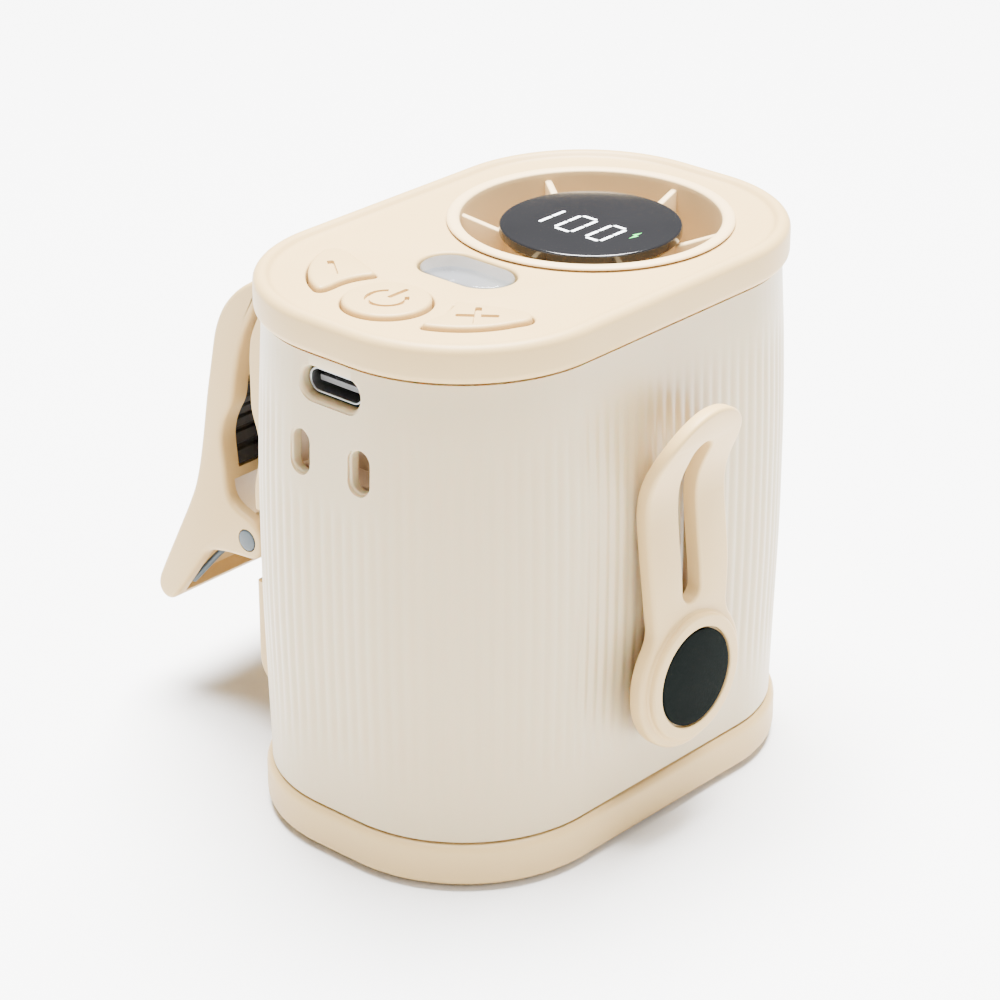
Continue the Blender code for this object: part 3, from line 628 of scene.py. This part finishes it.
class BLOWER_OT_lid(Operator):
    """Models the lid with its raised rim and the openings for the outlet, window and keys"""

    bl_idname = "blower.lid"
    bl_label = "Lid"

    def execute(self, context):
        lip, under = 1.15, 1.1
        profile = [(-2.4, LID_INSIDE), (-2.4, LID_BOTTOM), (-under, LID_BOTTOM)]
        profile += [(under * (sin(t) - 1), LID_BOTTOM + under * (1 - cos(t))) for t in quarter(4)[1:]]
        profile += [(lip * (cos(t) - 1), LID_TOP - lip * (1 - sin(t))) for t in quarter(6)]
        dish = ((-1.5, 0.05), (-1.8, 0.22), (-2.0, 0.45), (-2.25, 0.62))
        profile += [(offset, LID_TOP - drop) for offset, drop in dish]
        profile += [(-2.7, LID_FLOOR), (-3.4, LID_FLOOR)]
        lid = swept("lid", body_outline(), profile)
        below = LID_INSIDE - 1
        cut(
            lid,
            swept("outlet", circle(OUTLET_RADIUS + 1.5, (FAN_X, 0), 96), [(0, below), (0, LID_TOP + 1)]),
            hole(pill(LENS_WIDTH, LENS_LENGTH, (LENS_X, 0)), below, LID_FLOOR, 0.45),
            hole(circle(POWER_RADIUS + GAP, (POWER_X, 0)), below, LID_FLOOR, 0.3),
            hole(key_outline(1, GAP), below, LID_FLOOR, 0.3),
            hole(key_outline(-1, GAP), below, LID_FLOOR, 0.3),
        )
        piece(lid, "lid_cover", "body", "cream", "cream", "lid")
        return {"FINISHED"}


def key_outline(side, grow=0.0):
    """The minus (side 1) or plus (side -1) key: it curves round the power key and along the lid's edge."""
    inner = arc((POWER_X, 0), 8.3, 52, 101, 10)
    outer = arc((-15.86, 3.8), 13.4, 160, 108, 10)
    far = arc((-18.9, 15.2), 1.9, 100, -10, 8)
    points = softened((inner + outer + far)[::-1])
    points = grown(points, grow) if grow else points
    return points if side > 0 else [(x, -y) for x, y in points[::-1]]


def symbol_bar(length, width, centre, turn=0.0):
    """A rounded bar for an engraved sign, as an outline."""
    bar = rounded_box(length, width, width * 0.3, steps=3)
    c, s = cos(turn), sin(turn)
    return [(centre[0] + x * c - y * s, centre[1] + x * s + y * c) for x, y in bar]


class BLOWER_OT_keys(Operator):
    """Models the power, minus and plus keys with their engraved signs"""

    bl_idname = "blower.keys"
    bl_label = "Keys"

    def execute(self, context):
        sunk = KEY_TOP - 0.4
        signs = {
            "minus": [symbol_bar(4.6, 0.85, (-22.5, 11.8), radians(52))],
            "plus": [symbol_bar(5.2, 0.8, (-22.15, -11.8), radians(turn)) for turn in (-52, 38)],
            "power": [symbol_bar(3.4, 0.6, (POWER_X + 2.0, 0))],
        }
        for name, outline in (
            ("power", circle(POWER_RADIUS, (POWER_X, 0))),
            ("minus", key_outline(1)),
            ("plus", key_outline(-1)),
        ):
            key = swept(name, outline, rounded_rims(KEY_BOTTOM + 0.35, KEY_TOP, 0.45, 5, low_radius=0))
            join(key, swept("flange", grown(outline, 0.6), [(0, KEY_BOTTOM), (0, KEY_BOTTOM + 0.55)]))
            for sign in signs[name]:
                cut(key, swept("sign", sign, [(0, sunk), (0.05, KEY_TOP + 0.5)]))
            if name == "power":
                ring = arc((POWER_X, 0), 2.75, 38, 322, 40) + arc((POWER_X, 0), 2.15, 322, 38, 40)
                cut(key, swept("sign", ring, [(0, sunk), (0, KEY_TOP + 0.5)]))
            piece(key, f"{name}_key", f"{name}_key", "key", "cream", f"button_{name}")
        return {"FINISHED"}


class BLOWER_OT_base(Operator):
    """Models the base with its rounded rims, foot pockets and screw sinks"""

    bl_idname = "blower.base"
    bl_label = "Base"

    def execute(self, context):
        upper, lower, proud = 1.15, 1.4, 0.08
        profile = [(proud + lower * (sin(t) - 1), BASE_BOTTOM + lower * (1 - cos(t))) for t in quarter(6)]
        profile += [(proud + upper * (cos(t) - 1), BASE_TOP - upper * (1 - sin(t))) for t in quarter(6)]
        profile += [(-2.1, BASE_TOP), (-2.1, BASE_BOTTOM + 2)]
        base = swept("base", body_outline(), profile)
        through = [(0, -1), (0, 5)]
        cut(base, swept("intake", circle(INTAKE_RADIUS, (middle("intake_grille", "X"), 0)), through))
        for foot in ("foot_rear", "foot_middle", "foot_front"):
            size = [high(foot, axis) - low(foot, axis) + 2 * GAP for axis in "XY"]
            place = (middle(foot, "X"), 0)
            cut(base, swept("pocket", pill(*size, place), [(0, -1), (0, BASE_BOTTOM + 0.9)]))
        for i in range(1, 5):
            centre = [middle(f"base_screw_{i}", axis) for axis in "XY"]
            cut(base, swept("sink", circle(SCREW_HEAD, centre, 32), [(0, -1), (0, BASE_BOTTOM + 1.2)]))
            cut(base, swept("bore", circle(SCREW_BORE, centre, 24), through))
        piece(base, "base_cover", "body", "cream", "cream", "base_plate")
        return {"FINISHED"}


# Outlet and display


class BLOWER_OT_outlet(Operator):
    """Models the air outlet: a rounded bead, the collar, six vanes and the display's hub"""

    bl_idname = "blower.outlet"
    bl_label = "Air Outlet"

    def execute(self, context):
        wall, bead = 1.2, LID_FLOOR + GAP
        profile = [(0, 61.7), (wall, 61.7), (wall, bead), (wall + 0.5, bead)]
        profile += [(0.85 + 0.85 * cos(t), bead + 0.4 * sin(t)) for t in (pi * i / 12 for i in range(13))]
        profile += [(0, bead - 0.6)]
        grille = closed_sweep("outlet", circle(OUTLET_RADIUS, (FAN_X, 0), 96), profile)
        seat, under, bore = 68.6, 67.4, 0.8 - HUB_RADIUS
        hub = [(-1.8, HUB_BOTTOM), (0, HUB_BOTTOM)]
        hub += [(0, HUB_TOP - 0.4), (-0.12, HUB_TOP - 0.12), (-0.4, HUB_TOP), (-1.4, HUB_TOP)]
        hub += [(-1.4, seat), (bore, seat), (bore, under), (-1.8, under)]
        join(grille, closed_sweep("hub", circle(HUB_RADIUS, (FAN_X, 0), 72), hub))
        vane = self.vane()
        for i in range(VANES):
            pick(vane)
            bpy.ops.object.duplicate()
            copy = bpy.context.object
            turn = 2 * pi / VANES * i
            bpy.ops.transform.rotate(value=turn, orient_axis="Z", center_override=(FAN_X * MM, 0, 0))
            bpy.ops.object.transform_apply()
            join(grille, copy)
        bpy.data.objects.remove(vane, do_unlink=True)
        piece(grille, "air_outlet", "body", "duct_tan", "cream", "outlet_grille")
        return {"FINISHED"}

    def vane(self):
        """One thin radial vane on the +X side; its top edge falls towards the hub and is rounded."""
        near, far = HUB_RADIUS - 0.6, OUTLET_RADIUS + 0.6
        side = [(near, 62.5), (far, 62.5), (far, 72.5), (near, 70.0)]
        return swept("vane", [(z, FAN_X + r) for r, z in side][::-1], rounded_rims(-0.5, 0.5, 0.35, 3), "Y")


class BLOWER_OT_display(Operator):
    """Models the round display glass with its lit digits and charging mark"""

    bl_idname = "blower.display"
    bl_label = "Display"

    def execute(self, context):
        rim = rounded_rims(DISPLAY_BOTTOM, DISPLAY_TOP, 0.3, 4)
        glass = swept("glass", circle(DISPLAY_RADIUS, (FAN_X, 0), 96), rim)
        piece(glass, "display_glass", "body", "display_black", "display_black", "display_lens")
        foot, head, gap = -4.35, 1.1, 0.35
        waist = (foot + head) / 2
        bars = []
        for side in (5.1, 2.45, -0.3, -2.7, -5.1):
            bars.append(self.bar((foot + gap, side), (waist - 0.2, side)))
            bars.append(self.bar((waist + 0.2, side), (head - gap, side)))
        for left, right in ((2.45, -0.3), (-2.7, -5.1)):
            bars.append(self.bar((foot, left - gap), (foot, right + gap)))
            bars.append(self.bar((head, left - gap), (head, right + gap)))
        self.light(bars, "display_digits", "digits")
        bolt = [(1.5, -7.25), (0.15, -6.75), (0.2, -7.15), (-1.15, -7.25), (0.25, -7.7), (0.2, -7.35)]
        mark = [self.raised([(FAN_X + x, y) for x, y in bolt])]
        self.light(mark, "display_charge_mark", "charge")
        return {"FINISHED"}

    def bar(self, start, end, half=0.25):
        """One lit segment, a bar with pointed ends."""
        start, end = Vector(start), Vector(end)
        way = (end - start).normalized()
        across = Vector((-way.y, way.x)) * half
        points = [start - way * half * 0.6, start + across, end + across, end + way * half * 0.6]
        points += [end - across, start - across]
        return self.raised([(FAN_X + p.x, p.y) for p in points][::-1])

    def raised(self, outline):
        return swept("lit", outline, [(0, DISPLAY_TOP - 0.05), (0, DISPLAY_TOP + 0.012)])

    def light(self, bars, name, material):
        pick(*bars)
        if len(bars) > 1:
            bpy.ops.object.join()
        piece(bars[0], name, "body", material, "display_black")


class BLOWER_OT_window(Operator):
    """Models the light's clear window and the reflector under it"""

    bl_idname = "blower.window"
    bl_label = "Light Window"

    def execute(self, context):
        outline = pill(LENS_WIDTH - 2 * GAP, LENS_LENGTH - 2 * GAP, (LENS_X, 0))
        base = low("led_lens", "Z")
        lens = swept("lens", outline, rounded_rims(base, high("led_lens", "Z"), 0.4, 5, low_radius=0.1))
        piece(lens, "light_window", "body", "clear", "clear", "led_lens")
        floor, top = low("led_reflector", "Z"), high("led_reflector", "Z")
        shape = pill(9.0, 15.0, (LENS_X, 0))
        cup = [(-2.9, floor + 0.6), (-1.7, floor + 1.0), (-1.0, floor + 1.7)]
        cup += [(-0.8, top), (0, top), (0, floor)]
        reflector = swept("reflector", shape, cup)
        for y in (-4.2, 4.2):
            rib = rounded_box(4.4, 0.5, 0.2, (LENS_X, y))
            join(reflector, swept("rib", rib, rounded_rims(floor + 0.4, top - 0.3, 0.15, 2, low_radius=0)))
        piece(reflector, "light_reflector", "body", "reflector", "white", "led_reflector")
        foot = floor + 0.65
        radius, height = 2.0, 1.1
        rise = [(radius * (cos(t) - 1), foot + 0.3 + height * sin(t)) for t in quarter(7)[:-1]]
        dome = swept("dome", circle(radius, (LENS_X, 0), 40), [(0, foot), *rise])
        # The dome's faint glow is a painted highlight.
        piece(dome, "light_dome", "body", "led", "led", "led_chip")
        return {"FINISHED"}


class BLOWER_OT_port(Operator):
    """Models the charging port's steel shell"""

    bl_idname = "blower.port"
    bl_label = "Charging Port"

    def execute(self, context):
        front, back = low("usb_receptacle", "X"), high("usb_receptacle", "X")
        thick = 0.3
        profile = [(0, back), (0, front + 0.1), (-0.08, front), (-0.22, front)]
        profile += [(-thick, front + 0.1), (-thick, back - 0.5)]
        port = swept("port", pill(8.94, 3.26, (0, USB_Z)), profile, "X")
        # Its finish is the darkened steel, painted shade for the inside of the port.
        piece(port, "charging_port", "body", "port", "steel", "usb_receptacle")
        return {"FINISHED"}


# Belt clip


def clip_outline():
    """The paddle in (z, x): a round boss below, a waist, then a parallel arm with a round end."""
    waist = 6.9
    meet = sqrt(CLIP_BOSS**2 - waist**2)
    side = [(CLIP_Z + meet, waist), (CLIP_Z + meet + 2, 7.1), (CLIP_Z + meet + 4, 7.35)]
    side += [(CLIP_Z + 14.5, CLIP_HALF - 0.1)]
    tip = arc((CLIP_TOP - CLIP_HALF, 0), CLIP_HALF, 90, -90, 28)
    begin = degrees(atan2(waist, meet))
    boss = arc((CLIP_Z, 0), CLIP_BOSS, -begin, begin - 360, 48)
    return softened((side + tip + [(z, -x) for z, x in side[::-1]] + boss[1:-1])[::-1], 0.5, 3)


CLIP_LEAN = (
    (30, 0.0), (36, 0.25), (41.2, 0.85), (45.6, 1.3), (48, 1.25), (50.2, 0.7), (54, -1.2),
    (57.5, -2.8), (60, -3.4),
)
BEND_START, BEND_STEP, BEND_CUTS = 28.5, 0.65, 47


def clip_lean(height):
    """How far the arm leans from the boss face at a height; it dips to the body, then flares."""
    return sum(along(CLIP_LEAN, height + step) for step in (-1.6, -0.8, 0, 0.8, 1.6)) / 5


class BLOWER_OT_belt_clip(Operator):
    """Models the slotted belt clip with its puck and black badge"""

    bl_idname = "blower.belt_clip"
    bl_label = "Belt Clip"

    def execute(self, context):
        front, back = CLIP_FACE, CLIP_FACE + CLIP_THICK
        clip = swept("clip", clip_outline(), rounded_rims(front, back, 0.5, 4, low_radius=0.6), "Y")
        slot = pill(22.4, 3.4, (43.6, 0), 8)
        cut(clip, hole(slot, back + 1, front, 0.35, "Y"))
        pick(clip)
        bpy.ops.object.mode_set(mode="EDIT")
        for step in range(BEND_CUTS):
            bpy.ops.mesh.select_all(action="SELECT")
            height = (BEND_START + step * BEND_STEP) * MM
            bpy.ops.mesh.bisect(plane_co=(0, 0, height), plane_no=(0, 0, 1))
        bpy.ops.object.mode_set(mode="OBJECT")
        for vert in clip.data.vertices:
            vert.co.y += clip_lean(vert.co.z / MM) * MM
        seat = 6.8 - PUCK_RADIUS
        puck = [(0.55, front + 0.6), (0.55, front + 0.35), (0.25, front - 0.02), (0.0, front - 0.25)]
        puck += [(0.4 * (cos(t) - 1), PUCK_FACE + 0.4 * (1 - sin(t))) for t in quarter(4)]
        puck += [(seat + 0.12, PUCK_FACE), (seat, PUCK_FACE + 0.12), (seat, PUCK_FACE + 0.8)]
        join(clip, swept("puck", circle(PUCK_RADIUS, (CLIP_Z, 0), 80), puck, "Y"))
        cut(
            clip,
            swept("head", circle(4.0, (CLIP_Z, 0), 40), [(0, PUCK_FACE - 1), (0, back - 0.8)], "Y"),
            swept("bore", circle(2.3, (CLIP_Z, 0), 32), [(0, PUCK_FACE - 1), (0, back + 1)], "Y"),
        )
        piece(clip, "belt_clip_arm", "clip_arm", "cream", "cream", "belt_clip")
        rim = rounded_rims(low("clip_disc", "Y"), high("clip_disc", "Y"), 0.05, 3, low_radius=0.15)
        badge = swept("badge", circle(6.5, (CLIP_Z, 0), 80), rim, "Y")
        piece(badge, "clip_badge", "clip_arm", "badge", "display_black", "clip_disc")
        return {"FINISHED"}


# Clamp, side profiles in (y, z)

LEVER_OUTER = [
    (28.3, 66.0), (30.3, 65.5), (33.3, 63.5), (35.5, 61.3), (36.9, 59.2), (38.0, 56.4),
    (38.7, 52.9), (39.9, 47.0), (41.0, 40.4), (41.8, 36.3), (42.8, 32.7), (44.4, 29.2),
    (47.0, 24.1), (49.7, 18.8), (51.0, 16.0), (50.8, 14.5), (49.7, 13.6), (48.2, 13.6),
]
LEVER_INNER = [
    (40.8, 23.8), (37.4, 24.6), (34.4, 24.9), (31.8, 25.1), (30.4, 26.2), (30.0, 27.8),
    (30.4, 29.6), (31.8, 30.9), (33.6, 31.4), (35.4, 31.9), (36.6, 33.2), (37.0, 38.0),
    (37.4, 41.0), (37.1, 42.9), (36.3, 44.9), (35.0, 46.9), (34.4, 50.5), (33.7, 53.7),
    (32.8, 56.6), (31.8, 58.9), (30.2, 61.8), (29.0, 64.0),
]
LEVER_HOLLOW = [
    (28, 35.0), (38.6, 35.0), (40.0, 33.2), (42.4, 28.4), (45.2, 23.2), (47.7, 18.6), (48.4, 16.2),
    (46.8, 14.4), (40, 14.0), (28, 20.0),
]
LEVER_BED = [
    (33, 36.4), (38.4, 36.4), (38.9, 38.2), (39.1, 41.4), (38.6, 43.6), (37.8, 45.6), (36.4, 47.6),
    (35.9, 50.4), (33, 50.4),
]
FIXED_FACE = [
    (24.5, 7.2), (28.4, 7.2), (30.4, 8.3), (31.4, 10.4), (31.4, 36.6), (30.8, 38.8), (30.3, 41.0),
    (30.3, 43.2), (30.9, 45.3), (31.6, 47.0), (31.7, 54.6), (31.3, 57.6), (29.5, 61.4),
    (28.2, 63.6), (24.5, 63.6),
]
FIXED_BED = [(29.2, 37.4), (33, 37.4), (33, 51.4), (30.1, 51.4), (28.6, 43.6), (28.6, 41.0)]


def anticlockwise(points):
    """The outline, turned round where it runs clockwise."""
    area = sum(a * d - c * b for (a, b), (c, d) in zip(points, points[1:] + points[:1]))
    return points if area > 0 else points[::-1]


class BLOWER_OT_clamp(Operator):
    """Models the clamp's fixed half, its moving half and its pin"""

    bl_idname = "blower.clamp"
    bl_label = "Clamp"

    def execute(self, context):
        rim = rounded_rims(-CLAMP_HALF, CLAMP_HALF, 0.7, 4)
        inside = CLAMP_HALF - EAR
        fixed = swept("fixed", softened(anticlockwise(FIXED_FACE), 0.5, 2), rim, "X")
        reach = inside - GAP
        knuckle = circle(2.9, (PIN_Y, PIN_Z), 48)
        join(fixed, swept("knuckle", knuckle, [(0, -reach), (0, reach)], "X"))
        for side in (1, -1):
            ends = sorted((side * reach, side * (CLAMP_HALF + 1)))
            notch = rounded_box(10, 10.6, 2.0, (PIN_Y, PIN_Z))
            cut(fixed, swept("notch", notch, [(0, x) for x in ends], "X"))
        cut(
            fixed,
            swept("bore", circle(PIN_RADIUS + GAP, (PIN_Y, PIN_Z), 32), [(0, -20), (0, 20)], "X"),
            swept("bay", rounded_box(13.4, 9.4, 1.0, (PIN_Y + 2.5, PIN_Z)), [(0, -14.6), (0, 5.0)], "X"),
            swept("bed", anticlockwise(FIXED_BED), [(0, -15.7), (0, 15.7)], "X"),
        )
        for z, seat in ((14, 27.5), (52, 26.3)):
            cut(
                fixed,
                swept("bore", circle(1.5, (z, 0), 24), [(0, 20), (0, 35)], "Y"),
                swept("sink", circle(2.7, (z, 0), 32), [(0, seat), (0, 35)], "Y"),
            )
        piece(fixed, "clamp_fixed_half", "body", "cream", "cream", "clamp_base")
        lever = swept("lever", softened(anticlockwise(LEVER_OUTER + LEVER_INNER), 0.4, 3), rim, "X")
        cut(
            lever,
            swept("hollow", anticlockwise(LEVER_HOLLOW), [(0, -inside), (0, inside)], "X"),
            swept("bore", circle(PIN_RADIUS + GAP, (PIN_Y, PIN_Z), 32), [(0, -20), (0, 20)], "X"),
            swept("bed", anticlockwise(LEVER_BED), [(0, -15.7), (0, 15.7)], "X"),
        )
        piece(lever, "clamp_moving_half", "clamp_jaw", "cream", "cream", "clamp_lever")
        ends = low("clamp_pin", "X"), high("clamp_pin", "X")
        pin = swept("pin", circle(PIN_RADIUS + 0.18, (PIN_Y, PIN_Z), 40), rounded_rims(*ends, 0.18, 3), "X")
        piece(pin, "clamp_hinge_pin", "clamp_jaw", "pin", "steel", "clamp_pin")
        return {"FINISHED"}


class BLOWER_OT_spring(Operator):
    """Models the clamp's torsion spring as one round wire"""

    bl_idname = "blower.spring"
    bl_label = "Clamp Spring"

    def execute(self, context):
        left, right = -11.9, high("clamp_spring", "X") - SPRING_WIRE
        steps, start = 96, radians(200)
        route = []
        for i in range(steps + 1):
            turn = start + 2 * pi * i / steps * SPRING_TURNS
            y, z = PIN_Y + SPRING_RADIUS * cos(turn), PIN_Z + SPRING_RADIUS * sin(turn)
            route.append(Vector((right + (left - right) * i / steps, y, z)))
        route.insert(0, route[0] + Vector((0, 0, 3.4)))
        route += [Vector(place) for place in ((-12.4, 37.5, 27.4), (-15.2, 42.4, 21.3), (-15.6, 46.7, 16.4))]
        start_clean()
        bpy.ops.curve.primitive_nurbs_path_add(radius=0.001)
        spring = bpy.context.object
        spring.data.splines.clear()
        spline = spring.data.splines.new("POLY")
        spline.points.add(len(route) - 1)
        for point, place in zip(spline.points, route):
            point.co = (*(place * MM), 1)
        spring.data.bevel_depth = SPRING_WIRE * MM
        spring.data.bevel_resolution = 4
        spring.data.use_fill_caps = True
        spring.location = (0, 0, 0)
        bpy.ops.object.convert(target="MESH")
        piece(bpy.context.object, "clamp_torsion_spring", "clamp_jaw", "pin", "steel", "clamp_spring")
        return {"FINISHED"}


# Imported pieces whose finish isn't that of their slot. The strap pocket's finish is painted light: lighter
# than its own tan to make up for the shade inside the slots
SPECIAL = {"strap_pocket": "pocket", "usb_tongue": "tongue"}


class BLOWER_OT_inside(Operator):
    """Gives each piece that stays as it was packed its own finish"""

    bl_idname = "blower.inside"
    bl_label = "Packed Pieces"

    def execute(self, context):
        for entry in frame["record"]["subparts"]:
            obj = frame["nodes"][entry["node"]]
            slot = entry["material_slot"]
            obj.data.materials.clear()
            obj.data.materials.append(MATERIALS[SPECIAL.get(entry["node"], slot)])
        return {"FINISHED"}


class BLOWER_OT_stage(Operator):
    """Adds the floor, the soft lights and the camera"""

    bl_idname = "blower.stage"
    bl_label = "Stage"

    def execute(self, context):
        start_clean()
        bpy.ops.mesh.primitive_plane_add(size=6)
        floor = context.object
        floor.name = "floor"
        paper = Finish("white_paper", roughness=0.9)
        paper.set(base_color=paper.mixed(paper.noise(3.0), (0.84, 0.84, 0.84), (0.87, 0.87, 0.87)))
        floor.data.materials.append(paper.material)
        world = bpy.data.worlds.new("soft_white")
        context.scene.world = world
        world.use_nodes = True
        sky = world.node_tree.nodes["Background"]
        sky.inputs["Color"].default_value = (1, 1, 1, 1)
        sky.inputs["Strength"].default_value = 0.16
        power = settings().light_power
        self.soft_box("key_light", (-0.25, -0.75, 0.75), 0.6, power * 3)
        self.soft_box("top_light", (0.15, 0.1, 1.1), 0.7, power * 72)
        self.soft_box("side_light", (-0.9, 0.15, 0.4), 0.5, power)
        self.camera()
        return {"FINISHED"}

    def soft_box(self, name, place, size, power):
        """A square light in metres and watts, aimed at the middle of the blower."""
        bpy.ops.object.light_add(type="AREA", location=place)
        light = bpy.context.object
        light.name = name
        light.data.size = size
        light.data.energy = power
        way = Vector((0, 0, 0.04)) - Vector(place)
        light.rotation_euler = way.to_track_quat("-Z", "Y").to_euler()

    def camera(self):
        place = Vector((-0.3030, -0.26738, 0.22975))
        target = Vector((-0.01156, -0.0059, 0.04363))
        bpy.ops.object.camera_add(location=place)
        camera = bpy.context.object
        camera.rotation_euler = (target - place).to_track_quat("-Z", "Y").to_euler()
        camera.data.sensor_width = 36.0
        camera.data.lens = 124.81
        camera.data.clip_start = 0.01
        bpy.context.scene.camera = camera


class BLOWER_PT_panel(Panel):
    """Lists the pieces of the blower"""

    bl_label = "Blower"
    bl_idname = "BLOWER_PT_panel"
    bl_space_type = "VIEW_3D"
    bl_region_type = "UI"
    bl_category = "Blower"

    def draw(self, context):
        for name in BlowerSettings.__annotations__:
            self.layout.prop(context.scene.blower, name)
        for operator in OPERATORS:
            self.layout.operator(operator.bl_idname)


OPERATORS = (
    BLOWER_OT_stage,
    BLOWER_OT_inside,
    BLOWER_OT_shell,
    BLOWER_OT_lid,
    BLOWER_OT_keys,
    BLOWER_OT_base,
    BLOWER_OT_outlet,
    BLOWER_OT_display,
    BLOWER_OT_window,
    BLOWER_OT_port,
    BLOWER_OT_belt_clip,
    BLOWER_OT_clamp,
    BLOWER_OT_spring,
)
CLASSES = (BlowerSettings, *OPERATORS, BLOWER_PT_panel)


def register():
    for each in CLASSES:
        bpy.utils.register_class(each)
    bpy.types.Scene.blower = PointerProperty(type=BlowerSettings)


def unregister():
    del bpy.types.Scene.blower
    for each in reversed(CLASSES):
        bpy.utils.unregister_class(each)


def main():
    register()
    make_materials()
    bpy.ops.blower.stage()
    bpy.ops.blower.inside()
    bpy.ops.blower.shell()
    bpy.ops.blower.lid()
    bpy.ops.blower.keys()
    bpy.ops.blower.base()
    bpy.ops.blower.outlet()
    bpy.ops.blower.display()
    bpy.ops.blower.window()
    bpy.ops.blower.port()
    bpy.ops.blower.belt_clip()
    bpy.ops.blower.clamp()
    bpy.ops.blower.spring()


if __name__ == "__main__":
    main()
